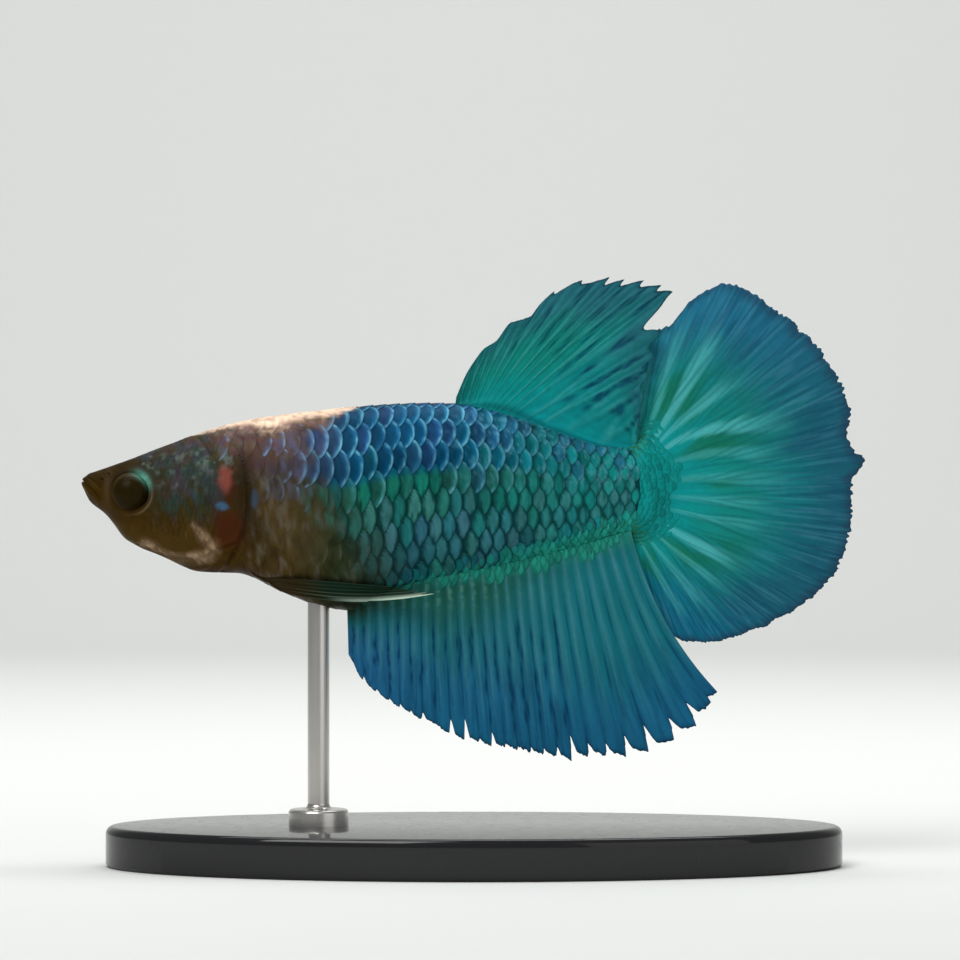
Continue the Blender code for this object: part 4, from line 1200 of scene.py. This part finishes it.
def along_ray(root, tip, bow, v):
    """(x, z) at v on a ray from root to tip, its middle pushed aside by bow."""
    (rx, rz), (tx, tz) = root, tip
    length = np.hypot(tx - rx, tz - rz)
    push = bow * 2 * v * (1 - v)
    return rx + (tx - rx) * v + (tz - rz) / length * push, rz + (tz - rz) * v - (tx - rx) / length * push


def nearest_ray(u, rays):
    """The number of the nearest ray, and how far past it u is, from -0.5 to 0.5 of a space."""
    rays = np.asarray(rays)
    before = np.clip(np.searchsorted(rays, u) - 1, 0, len(rays) - 2)
    t = np.clip((u - rays[before]) / (rays[before + 1] - rays[before]), 0.0, 1.0)
    return before + (t > 0.5), np.where(t > 0.5, t - 1, t)


def ray_offset(u, v, rays, splits):
    """Distance to the nearest ray or branch, in spaces between rays. Each split parts every branch in two."""
    t, reach = np.abs(nearest_ray(u, rays)[1]), 0.25
    for start, end in splits:
        t = np.abs(t - reach * step(start, end, v))
        reach /= 2
    return t


def between_rays(u, rays):
    """The number of the space between rays."""
    return np.clip(np.searchsorted(np.asarray(rays), u) - 1, 0, len(rays) - 2)


def streaks(u, v, across, along, seed, octaves=2):
    """Noise drawn out along the rays."""
    return noise(stacked(u * across, v * along, 0), 1.0, seed, octaves)


def edge_noise(u, across, seed):
    """Noise along a fin's edge."""
    return noise(stacked(u * across, 0, 0), 1.0, seed)


def dash_places(dice, rays, spaces, count, low, high):
    """Places (u, v) for marks near the middle of the spaces between rays."""
    rays, space = np.asarray(rays), dice.integers(*spaces, count)
    share = dice.uniform(0.35, 0.65, count)
    return list(zip(rays[space] * (1 - share) + rays[space + 1] * share, dice.uniform(low, high, count)))


def dashes(u, v, places, half_u, half_v):
    """1 on slim marks that lie along the rays, 0 elsewhere."""
    share = np.zeros(np.shape(u))
    for at_u, at_v in places:
        share = np.maximum(share, bell(np.hypot((u - at_u) / half_u, (v - at_v) / half_v), 1.0))
    return share


def dorsal_shape(u, v):
    """The back fin's middle, its rays fanned from the back line."""
    x = ramp(DORSAL_BASE, dorsal_roots(u))
    bow = -DORSAL_BOW * u * (1 - u)
    along, up = along_ray((x, top_line(x) - ROOT_DEPTH), (dorsal_x(u), dorsal_z(u)), bow, v)
    return stacked(along, -DORSAL_SWEEP * u**2 * v, up)


def anal_shape(u, v):
    """The anal fin's middle, its rays hanging from the belly line."""
    x = ramp(ANAL_BASE, u)
    along, up = along_ray((x, bottom_line(x) + ROOT_DEPTH), (anal_x(u), anal_z(u)), anal_bow(u), v)
    return stacked(along, -ANAL_SWEEP * u**4 * v, up)


def caudal_shape(u, v):
    """The tail fin's middle, a waved fan round the end of the stalk."""
    degrees = ramp(FAN_SPAN, u)
    radius = fan_radius(degrees) + 1.0 * bell(degrees - 82.5, 3.2)
    turn = np.radians(degrees)
    root = (FAN_ROOT_X + FAN_ROOT_BULGE * np.sin(math.pi * u), FAN_Z + FAN_ROOT_HALF * np.cos(math.pi * u))
    tip = (FAN_X + radius * np.sin(turn), FAN_Z + radius * np.cos(turn))
    along, up = along_ray(root, tip, 0.0, v)
    edge = np.clip(np.abs(2 * u - 1), 0, 1.1) ** 3
    wave = CAUDAL_WAVE * np.sin(3 * math.pi * u) * v**2 * (1 - edge)
    return stacked(along, CAUDAL_SWEEP * edge * np.clip(1.6 * v, 0, 1) + wave, up)


class Sheet:
    """A fin's two faces as grids of points over u and v."""

    def __init__(self, shape, edge, half_thick, columns, rows, first=0.0, last=1.0, root=0.0):
        self.first, self.last, self.root = first, last, root
        line = np.linspace(0.0, 1.0, rows)
        self.u = np.broadcast_to(np.linspace(first, last, columns)[:, None], (columns, rows))
        self.v = np.broadcast_to((root + (1 - root) * line)[None, :], (columns, rows))
        reach = np.where(self.v > 0, self.v * edge(self.u), self.v)
        self.middle = shape(self.u, reach)
        normal = np.cross(np.gradient(self.middle, axis=0), np.gradient(self.middle, axis=1))
        self.normal = normal / np.maximum(np.linalg.norm(normal, axis=2, keepdims=True), 1e-12)
        self.half = half_thick(self.u, self.v) * np.sqrt(np.clip((1.0 - self.v) / 0.02, 0.15, 1.0))

    def face(self, side):
        """The points of one face: side is 1 or -1."""
        return self.middle + side * self.normal * self.half[..., None]

    def lay(self, u, v, side, height):
        """Points at a height over one face, at any u and v."""
        columns, rows = self.u.shape
        i = np.clip((u - self.first) / (self.last - self.first), 0, 1) * (columns - 1.001)
        j = np.clip((v - self.root) / (1 - self.root), 0, 1) * (rows - 1.001)
        a, c = np.floor(i).astype(int), np.floor(j).astype(int)
        f, g = (i - a)[..., None], (j - c)[..., None]
        grid = self.face(side)
        near = grid[a, c] * (1 - g) + grid[a, c + 1] * g
        far = grid[a + 1, c] * (1 - g) + grid[a + 1, c + 1] * g
        return near * (1 - f) + far * f + side * self.normal[a, c] * height[..., None]


def make_sheet(name, material, node_name, sheet, colour):
    """A closed fin from a sheet, coloured by a function of u and v."""
    points = np.concatenate([sheet.face(1).reshape(-1, 3), sheet.face(-1).reshape(-1, 3)])
    tint = colour(sheet.u, sheet.v).reshape(-1, 3)
    across = (sheet.u - sheet.first) / (sheet.last - sheet.first)
    out = (sheet.v - sheet.root) / (1 - sheet.root)
    place = stacked(across, out).reshape(-1, 2) * [0.98, 0.485]
    uv = np.concatenate([0.005 + place, [0.005, 0.505] + place])
    faces = slab_quads(*sheet.u.shape)
    piece = mesh_piece(name, points, faces, material, np.concatenate([tint, tint]), uv)
    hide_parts(node_name)


def make_dorsal():
    """The back fin: long curved points in front of a deep notch, then short ragged rays."""
    rays = DORSAL_RAYS
    dice = np.random.default_rng(73)
    marks = dash_places(dice, rays, (5, 17), 70, 0.45, 0.97)
    small = dash_places(dice, rays, (10, 17), 40, 0.3, 0.95)

    def splits(u):
        early = 0.28 * step(0.62, 0.85, u)
        return [(0.4 - early, 0.95 - early)]

    def edge(u):
        past = nearest_ray(u, rays)[1]
        t = np.where(past < 0, past + 1, past)
        drop = dorsal_notch(u) * (1 - np.exp(-t / 0.08)) * (1 - t) ** 1.2
        return (1.0 - drop - 0.008 * edge_noise(u, 160, 74)) * (1 - 0.13 * bell(u - 0.803, 0.016))

    def half_thick(u, v):
        ridge = bell(ray_offset(u, v, rays, splits(u)), 0.13)
        folds = 0.03 * (streaks(u, v, 40, 3, 75) - 0.5) * step(0.05, 0.3, v)
        return 0.06 + folds + (0.07 - 0.03 * v) * ridge * step(-0.1, 0.2, v) + 0.45 * bell(v, 0.08)

    def colour(u, v):
        t = ray_offset(u, v, rays, splits(u))
        fine, broad = streaks(u, v, 75, 6, 71), streaks(u, v, 10, 4, 72, 3)
        dapple = streaks(u, v, 50, 34, 76)
        pale = step(0.72, 1.0, v + 0.25 * (broad - 0.5)) * step(0.3, 0.42, u) * step(0.85, 0.78, u)
        # light line along each ray: partly its own colour, partly a painted highlight on its ridge
        line = bell(t, 0.12) * step(0.02, 0.12, v) * step(1.0, 0.6, v) * (0.35 + 0.9 * step(0.35, 0.7, fine))
        return paint(
            "dorsal_root",
            ("dorsal_low", step(0.1, 0.4, v)),
            ("dorsal_high", step(0.45, 0.95, v + 0.5 * (broad - 0.5))),
            ("dorsal_pale", 0.7 * pale),
            ("dorsal_front", 0.7 * step(0.22, 0.03, u)),
            ("dorsal_rear", 0.6 * step(0.62, 0.88, u) * step(0.95, 0.5, v)),
            (LIGHT, 0.66 + 0.22 * fine + 0.24 * broad + 0.26 * dapple),
            # painted shade beside each ray's ridge
            ("dorsal_seam", 0.3 * bell(np.abs(t - 0.22), 0.08) * step(0.1, 0.5, v)),
            ("dorsal_ray", 0.34 * np.clip(line, 0, 1)),
            ("dorsal_dash", 0.8 * dashes(u, v, marks, 0.005, 0.05)),
            ("dorsal_small_dash", 0.7 * dashes(u, v, small, 0.006, 0.045)),
            # painted shade along the crease at the fin's root
            ("dorsal_fold", 0.55 * bell(v - 0.04, 0.025)),
            ("dorsal_rim", step(0.97, 0.995, v) * (0.75 - 0.5 * step(0.78, 0.84, u))),
        )

    sheet = Sheet(dorsal_shape, edge, half_thick, 480, 100)
    make_sheet("dorsal_sheet", fin_material("dorsal_membrane"), "dorsal_fin", sheet, colour)


def make_anal():
    """The long fin under the body: beaded rays at its base, dark dashes between them further out."""
    rays, splits = ANAL_RAYS, [(0.55, 0.95)]
    dice = np.random.default_rng(12)
    vary = dice.uniform(0.2, 1.35, len(rays) + 1)
    marks = dash_places(dice, rays, (0, 18), 70, 0.35, 0.9)

    def edge(u):
        space, (number, past) = between_rays(u, rays), nearest_ray(u, rays)
        deep = anal_notch(u) * vary[space]
        notch = np.maximum(step(0.36, 0.49, past), step(-0.2, -0.5, past))
        scallop = 0.012 * (1 - 4 * past**2) * step(0.35, 0.2, u)
        slant = (0.02 + 0.03 * step(0.6, 0.75, u)) * past
        longer = 0.02 * (vary[number] - 0.8)
        return 1.0 + scallop + longer + slant - deep * notch - 0.016 * edge_noise(u, 230, 85)

    def half_thick(u, v):
        past = nearest_ray(u, rays)[1]
        ridge = bell(past + 0.08, 0.2) + 0.4 * bell(ray_offset(u, v, rays, splits), 0.12) * step(0.5, 0.8, v)
        folds = 0.02 * (streaks(u, v, 60, 3, 86) - 0.5) * step(0.05, 0.3, v)
        return 0.055 + folds + (0.08 - 0.04 * v) * ridge + 0.5 * bell(v, 0.08)

    def colour(u, v):
        past = nearest_ray(u, rays)[1]
        fine, broad = streaks(u, v, 130, 6, 81), streaks(u, v, 9, 3, 82, 3)
        front, rear = step(0.35, 0.05, u), step(0.5, 0.85, u)
        glow = step(1.0, 0.45, v) * (0.3 + 0.8 * broad) * (1 - 0.7 * front * step(0.35, 0.1, v))
        light = bell(past + 0.1, 0.22) * (0.55 + 0.7 * fine) * glow
        speck = step(0.45, 0.62, streaks(u, v, 60, 60, 87, 1))
        beads = speck * bell(past, 0.2) * bell(v - 0.1, 0.1) * bell(u - 0.36, 0.2)
        crack = bell(np.abs(past) - 0.5 + 0.1 * (fine - 0.5), 0.07) * (0.25 + step(0.35, 0.6, fine))
        hair = step(0.5, 0.7, streaks(u, v, 170, 5, 84)) * step(0.35, 0.7, v)
        return paint(
            "anal_root",
            ("anal_low", step(0.08, 0.4, v + 0.25 * (broad - 0.5))),
            ("anal_high", step(0.35, 0.75, v + 0.2 * (broad - 0.5))),
            ("anal_front", 0.6 * front * step(0.25, 0.5, v)),
            ("anal_rear", 0.8 * rear * step(0.95, 0.5, v)),
            # painted shadow of the pelvic fins: the front root darker and brownish
            ("anal_brown", 0.9 * step(0.3, 0.0, u) * step(0.3, 0.05, v)),
            (linear("cyan") * 0.75, 0.8 * step(0.1, 0.04, v) * step(0.2, 0.35, u)),
            (LIGHT, 0.76 + 0.3 * fine + 0.2 * broad),
            ("anal_ray", np.clip(0.7 * light, 0, 1)),
            ("anal_bead", 0.55 * beads),
            ("anal_crack", np.clip(0.6 * crack * step(0.08, 0.4, v), 0, 1)),
            ("anal_dash", 0.8 * dashes(u, v, marks, 0.005, 0.05)),
            ("anal_hair", 0.35 * hair),
            ("anal_rim", 0.5 * step(0.97, 1.0, v)),
        )

    sheet = Sheet(anal_shape, edge, half_thick, 600, 80)
    make_sheet("anal_sheet", fin_material("anal_membrane"), "anal_fin", sheet, colour)
    make_sheath_scales(sheet)


def make_caudal():
    """The tail fan: broad light folds that part into fine streaks, small scales at its root."""
    rays, splits = CAUDAL_RAYS, [(0.2, 0.5), (0.45, 0.75), (0.7, 1.0)]

    def edge(u):
        teeth = edge_noise(u, 230, 94) + 0.6 * edge_noise(u, 90, 95)
        return 1.0 + 0.02 * (edge_noise(u, 24, 96) - 0.5) - 0.026 * teeth

    def half_thick(u, v):
        ridge = bell(ray_offset(u, v, rays, splits), 0.18 - 0.13 * step(0.1, 0.8, v))
        stalk = 1.25 * np.sqrt(np.clip(1 - (2 * u - 1) ** 2, 0.04, 1)) * bell(np.clip(v + 0.03, 0, None), 0.1)
        return 0.055 + (0.06 - 0.03 * v) * ridge * step(0.08, 0.25, v) + stalk

    def colour(u, v):
        t = ray_offset(u, v, rays, splits)
        fine, hair = streaks(u, v, 130, 4, 91), streaks(u, v, 300, 5, 93)
        broad = streaks(u, v, 14, 3, 92, 3)
        light = step(0.5, 0.72, hair) * step(0.45, 0.75, v)
        dark = step(0.5, 0.7, streaks(u, v, 210, 4, 97)) * step(0.5, 0.8, v)
        return paint(
            "caudal_root",
            ("caudal_low", step(0.1, 0.4, v + 0.3 * (broad - 0.5))),
            ("caudal_middle", step(0.35, 0.65, v + 0.3 * (broad - 0.5))),
            ("caudal_high", step(0.6, 0.9, v + 0.25 * (broad - 0.5))),
            ("caudal_upper", 0.9 * step(0.5, 0.85, v) * step(0.42, 0.1, u)),
            ("caudal_lower", 0.8 * step(0.72, 0.95, u) * step(0.15, 0.6, v)),
            # lighter at the top of the fan's root: partly its own colour, partly painted light against the
            # dorsal fin's shadow
            ("caudal_top_root", 0.7 * step(0.12, 0.03, u) * step(0.05, 0.3, v)),
            ("caudal_green", 0.75 * bell(v - 0.35, 0.22) * step(0.45, 0.65, broad)),
            ("caudal_band", 0.85 * light_bands(u, v, fine, broad)),
            (LIGHT, 0.84 + 0.2 * hair + 0.18 * fine),
            ("caudal_seam", 0.4 * bell(t - 0.12, 0.06) * step(0.1, 0.3, v)),
            ("caudal_light", 0.28 * light),
            ("caudal_dark", 0.34 * dark),
            ("caudal_rim", 0.6 * step(0.93, 1.0, v + 0.05 * (fine - 0.5))),
        )

    sheet = Sheet(caudal_shape, edge, half_thick, 640, 76, -0.05, 1.08, -0.1)
    make_sheet("caudal_sheet", fin_material("caudal_membrane"), "caudal_fin", sheet, colour)
    make_caudal_scales(sheet)


def light_bands(u, v, ragged, broad):
    """1 on the tail fan's light folds, 0 between them."""
    degrees = ramp(FAN_SPAN, u)
    share = 0.0
    for near, far, width, end, strength in CAUDAL_BANDS:
        off = np.abs(degrees - near - (far - near) * step(0.0, 0.7, v)) / (width * (0.55 + 0.7 * v))
        reach = step(end + 0.2, end - 0.15, v + 0.3 * (broad - 0.5))
        share = np.maximum(share, strength * step(1.3, 0.3, off + 0.9 * (ragged - 0.5)) * reach)
    return share * step(0.04, 0.16, v)


def fan_arc(v):
    """The length of the arc across the tail fan at v, in mm."""
    return (FAN_ROOT_HALF + FAN_RAY_LENGTH * np.clip(v, 0, None)) * math.pi


def caudal_sites(dice):
    """Rings of ever smaller scales over the fan's root, whose first two numbers are u and v."""
    sites, v, ring = [], -0.04, 0
    while v < 0.26:
        size = 0.60 - 0.9 * max(v, 0.0)
        count = round(fan_arc(v) / size)
        for row in range(count):
            u = (row + 0.25 + 0.5 * (ring % 2)) / count + dice.uniform(-0.22, 0.22) / count
            reach = 0.15 + 0.09 * abs(2 * u - 1) ** 2 + 0.03 * math.sin(19 * u)
            if v < reach * dice.uniform(0.75, 1.1):
                at = v + dice.uniform(-0.01, 0.01)
                sites.append((u, at, size * dice.uniform(1.0, 1.3), size * PITCH_SHARE, 0.5 * u, at))
        v += 0.8 * size / FAN_RAY_LENGTH
        ring += 1
    return np.array(sites)


def make_caudal_scales(sheet):
    """Small scales that run on from the tail stalk over the fan's root, on both faces."""
    dice = np.random.default_rng(13)
    sites = caudal_sites(dice)
    corner, outer = step(0.3, 0.46, np.abs(sites[:, 0] - 0.5)), step(0.04, 0.2, sites[:, 1])
    base = paint("tail_scale", ("tail_corner", 0.8 * corner), ("tail_outer", 0.6 * outer))
    base = base * dice.uniform(0.85, 1.2, (len(sites), 1))
    gap = base * (0.62 + 0.28 * outer)[:, None]
    lift, thick = 0.026 - 0.008 * outer, 0.013 - 0.005 * outer
    material = tinted_material("tail_scales", 0.45, 0.1)

    def colour(points, ahead, behind, inside):
        lens = step(0.0, 0.1, behind) * step(-0.05, 0.1, ahead)
        return mix(gap[:, None], base[:, None], lens)

    def place(u, v, along, across):
        v = v + along / FAN_RAY_LENGTH
        return u + across / fan_arc(v), v

    make_sheet_plates("scales_tail", sites, sheet, place, lift, thick, colour, material, 6, 7)


def flank_y(x, z):
    """How far the solids' surface is from the middle plane at this length and height."""
    top, bottom = top_line(x), bottom_line(x)
    height = np.clip((z - (top + bottom) / 2) / ((top - bottom) / 2), -1.0, 1.0)
    return body_points(x, np.arccos(height))[..., 1]


def make_pelvic(side, name, material):
    """A belly fin: narrow and dark, its long first ray pale towards the tip."""

    def shape(u, v):
        root, tip = ([ramp(pair, u) for pair in zip(*ends)] for ends in (PELVIC_ROOT, PELVIC_TIP))
        x, z = along_ray(root, tip, -ramp(PELVIC_BOW, u), v)
        z = z + np.clip(bottom_line(x) + 0.5 - z, 0, None) * step(0.14, 0.0, v)
        out = PELVIC_STANDOFF * step(-0.02, 0.25, v) - 0.3 * step(0.12, -0.08, v)
        y = np.maximum(flank_y(x, z), PELVIC_LEAST_Y * step(-0.1, 0.15, v)) + out
        return stacked(x, side * y, z)

    def edge(u):
        return 1.0 - 0.06 * step(0.1, 0.5, np.abs(nearest_ray(u, PELVIC_RAYS)[1]))

    def half_thick(u, v):
        ridge = bell(nearest_ray(u, PELVIC_RAYS)[1], 0.15)
        return 0.03 + 0.03 * ridge * (1.2 - v) + 0.06 * bell(u, 0.08) * (1.1 - v)

    def colour(u, v):
        line = bell(nearest_ray(u, PELVIC_RAYS)[1], 0.09) * step(0.1, 0.35, v)
        line = line * (0.1 + 0.5 * bell(u - 0.2, 0.25))
        return paint(
            "belly",
            (LIGHT, 0.25 + 0.4 * streaks(u, v, 9, 5, 98)),
            ("pelvic_dark", step(0.15, 0.5, v)),
            ("pelvic_ray", line),
            ("pelvic_pale", 0.95 * bell(u, 0.15) * step(0.35, 0.7, v)),
        )

    sheet = Sheet(shape, edge, half_thick, 60, 100, root=-0.1)
    make_sheet(f"pelvic_{name}_sheet", material, f"pelvic_fin_{name}", sheet, colour)


def make_pectoral(side, name, material):
    """A clear fan behind the gill, its rays branching once."""
    rays, splits = PECTORAL_RAYS, [(0.4, 0.8)]

    def shape(u, v):
        root = [ramp(pair, u) for pair in zip(*PECTORAL_ROOT)]
        turn = np.radians(ramp(PECTORAL_ANGLES, u))
        reach = PECTORAL_REACH * (0.8 + 0.2 * np.sin(math.pi * u)) * v
        x, z = root[0] + reach * np.cos(turn), root[1] + reach * np.sin(turn)
        flare = PECTORAL_FLARE * np.clip(v, 0, None) ** 1.5
        out = SIDE_FIN_STANDOFF * step(-0.1, 0.2, v)
        return stacked(x, side * (flank_y(x, z) + out + flare), z)

    def edge(u):
        return 1.0 - 0.03 * step(0.1, 0.5, np.abs(nearest_ray(u, rays)[1]))

    def half_thick(u, v):
        ridge = bell(ray_offset(u, v, rays, splits), 0.16)
        return 0.02 + 0.025 * ridge * (1.3 - v) + 0.2 * bell(np.clip(v + 0.02, 0, None), 0.08)

    def colour(u, v):
        line = bell(ray_offset(u, v, rays, splits), 0.13)
        return paint("pectoral_clear", ("pectoral_ray", line), ("pectoral_root", step(0.18, 0.0, v)))

    sheet = Sheet(shape, edge, half_thick, 120, 60, root=-0.1)
    make_sheet(f"pectoral_{name}_sheet", material, f"pectoral_fin_{name}", sheet, colour)


# ---- The stand ---------------------------------------------------------------------------------
BASE_ROUND = 0.6  # the round of the base's upper edge
ROD_RADIUS, TIP_ROUND = 0.8, 0.2
COLLAR_RADIUS, COLLAR_HEIGHT, COLLAR_ROUND, FILLET = 2.2, 1.2, 0.3, 0.4


def turned_piece(name, profile, centre, scale, material, steps):
    """A piece turned from a profile of (radius, height) points that ends on the axis at both ends."""
    turn = np.linspace(0.0, 2 * math.pi, steps, endpoint=False)
    profile = np.array(profile, float)
    x = centre[0] + scale[0] * profile[:, :1] * np.cos(turn)
    y = centre[1] + scale[1] * profile[:, :1] * np.sin(turn)
    faces = grid_quads(len(profile), steps, wrap=True)
    piece = mesh_piece(name, stacked(x, y, profile[:, 1:]), faces, material)
    piece.data.set_sharp_from_angle(angle=math.radians(35))
    return piece


def rounded(corner_r, corner_z, radius, start, end, count=7):
    """Points on a quarter round about a corner, from one angle to another, in degrees."""
    turn = np.radians(np.linspace(start, end, count))
    return [(corner_r + radius * math.cos(a), corner_z + radius * math.sin(a)) for a in turn]


def make_stand():
    """The oval acrylic base, and the steel rod with its collar."""
    low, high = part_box("stand_base")
    half, top = (high - low) / 2 / MM, high[2] / MM
    acrylic, tree, shader = new_material("stand_acrylic", 0.22, coat=0.6, coat_roughness=0.05)
    shader.inputs["Base Color"].default_value = (0.012, 0.012, 0.013, 1.0)
    dust = spread_node(tree, grain_node(tree, 900.0, 4.0), 0.16, 0.34)
    tree.links.new(dust, shader.inputs["Roughness"])
    edge = BASE_ROUND / half[0]
    profile = [(0.0, top)]
    for turn in np.linspace(math.pi / 2, 0.0, 9):
        profile.append((1 - edge + edge * math.cos(turn), top - BASE_ROUND + BASE_ROUND * math.sin(turn)))
    profile += [(1.0, 0.25), (1 - edge * 0.4, 0.0), (0.0, 0.0)]
    base = turned_piece("stand_base_slab", profile, (0.0, 0.0), half[:2], acrylic, 240)
    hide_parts("stand_base")

    steel, tree, shader = new_material("stand_steel", 0.28, 1.0)
    shader.inputs["Base Color"].default_value = (0.62, 0.6, 0.57, 1.0)
    lines = grain_node(tree, 1.0, 2.0, stretch=(200.0, 200.0, 12000.0))
    bump_node(tree, shader, lines, 0.5, 0.005)
    low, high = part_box("stand_rod")
    rod_x, tip = (low[0] + high[0]) / 2 / MM, high[2] / MM
    inner, fillet_z = ROD_RADIUS - TIP_ROUND, top + COLLAR_HEIGHT + FILLET
    profile = [(0.0, tip), (inner, tip)] + rounded(inner, tip - TIP_ROUND, TIP_ROUND, 90, 0)
    profile += [(ROD_RADIUS, fillet_z)] + rounded(ROD_RADIUS + FILLET, fillet_z, FILLET, 180, 270)
    profile += rounded(COLLAR_RADIUS - COLLAR_ROUND, top + COLLAR_HEIGHT - COLLAR_ROUND, COLLAR_ROUND, 90, 0)
    profile += [(COLLAR_RADIUS, top), (0.0, top)]
    rod = turned_piece("stand_rod_turned", profile, (rod_x, 0.0), (1.0, 1.0), steel, 96)
    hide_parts("stand_rod")


# ---- Stage -------------------------------------------------------------------------------------
def make_stage():
    """A pale floor that curves up behind, soft lights, and the camera square to the left flank."""
    pale, _, shader = new_material("stage", 0.85)
    shader.inputs["Base Color"].default_value = (0.70, 0.71, 0.69, 1.0)
    reach, front, back, bend, height = 900.0, -900.0, 420.0, 200.0, 700.0
    line = [(front, 0.0), (back, 0.0)]
    for turn in np.linspace(0.1, math.pi / 2, 16):
        line.append((back + bend * math.sin(turn), bend - bend * math.cos(turn)))
    line += [(back + bend, height)]
    mesh = bpy.data.meshes.new("backdrop")
    points = [(x * MM, y * MM, z * MM) for y, z in line for x in (-reach, reach)]
    faces = [(2 * i, 2 * i + 1, 2 * i + 3, 2 * i + 2) for i in range(len(line) - 1)]
    mesh.from_pydata(points, [], faces)
    mesh.shade_smooth()
    mesh.materials.append(pale)
    floor = bpy.data.objects.new("backdrop", mesh)
    bpy.context.scene.collection.objects.link(floor)

    world = bpy.data.worlds.new("studio")
    world.use_nodes = True
    world.node_tree.nodes["Background"].inputs["Color"].default_value = (0.80, 0.82, 0.84, 1.0)
    world.node_tree.nodes["Background"].inputs["Strength"].default_value = 0.3
    bpy.context.scene.world = world
    fish, wall = (0.0, 0.0, 27.0), (0.0, 560.0, 120.0)
    area_light("key", (-150.0, -260.0, 320.0), fish, 220.0, 0.95)
    area_light("fill", (260.0, -300.0, 90.0), fish, 300.0, 0.2)
    area_light("top", (40.0, 60.0, 330.0), fish, 240.0, 0.35)
    area_light("wall", (0.0, 120.0, 460.0), wall, 400.0, 2.2)

    data = bpy.data.cameras.new("camera")
    camera = bpy.data.objects.new("camera", data)
    bpy.context.scene.collection.objects.link(camera)
    distance, width = 340.0, 70.4
    data.sensor_width = 36.0
    data.lens = 36.0 * distance / width
    data.clip_start, data.clip_end = 0.01, 10.0
    camera.location = (0.44 * MM, -distance * MM, 28.3 * MM)
    camera.rotation_euler = (math.pi / 2, 0.0, 0.0)
    bpy.context.scene.camera = camera
    bpy.context.scene.view_settings.view_transform = "Standard"


def area_light(name, place, target, size, power):
    """A square soft light aimed at a target."""
    data = bpy.data.lights.new(name, "AREA")
    data.size, data.energy = size * MM, power
    light = bpy.data.objects.new(name, data)
    bpy.context.scene.collection.objects.link(light)
    light.location = [c * MM for c in place]
    aim = np.array(target) - np.array(place)
    aim /= np.linalg.norm(aim)
    light.rotation_euler = (math.acos(-aim[2]), 0.0, math.atan2(aim[1], aim[0]) - math.pi / 2)


def main():
    make_skin()
    make_scales()
    make_eyes()
    make_dorsal()
    make_anal()
    make_caudal()
    pelvic = fin_material("pelvic_membrane")
    pectoral = clear_material("pectoral_membrane", 0.06)
    for side, name in ((LEFT, "left"), (RIGHT, "right")):
        make_pelvic(side, name, pelvic)
        make_pectoral(side, name, pectoral)
    make_stand()
    make_stage()


main()
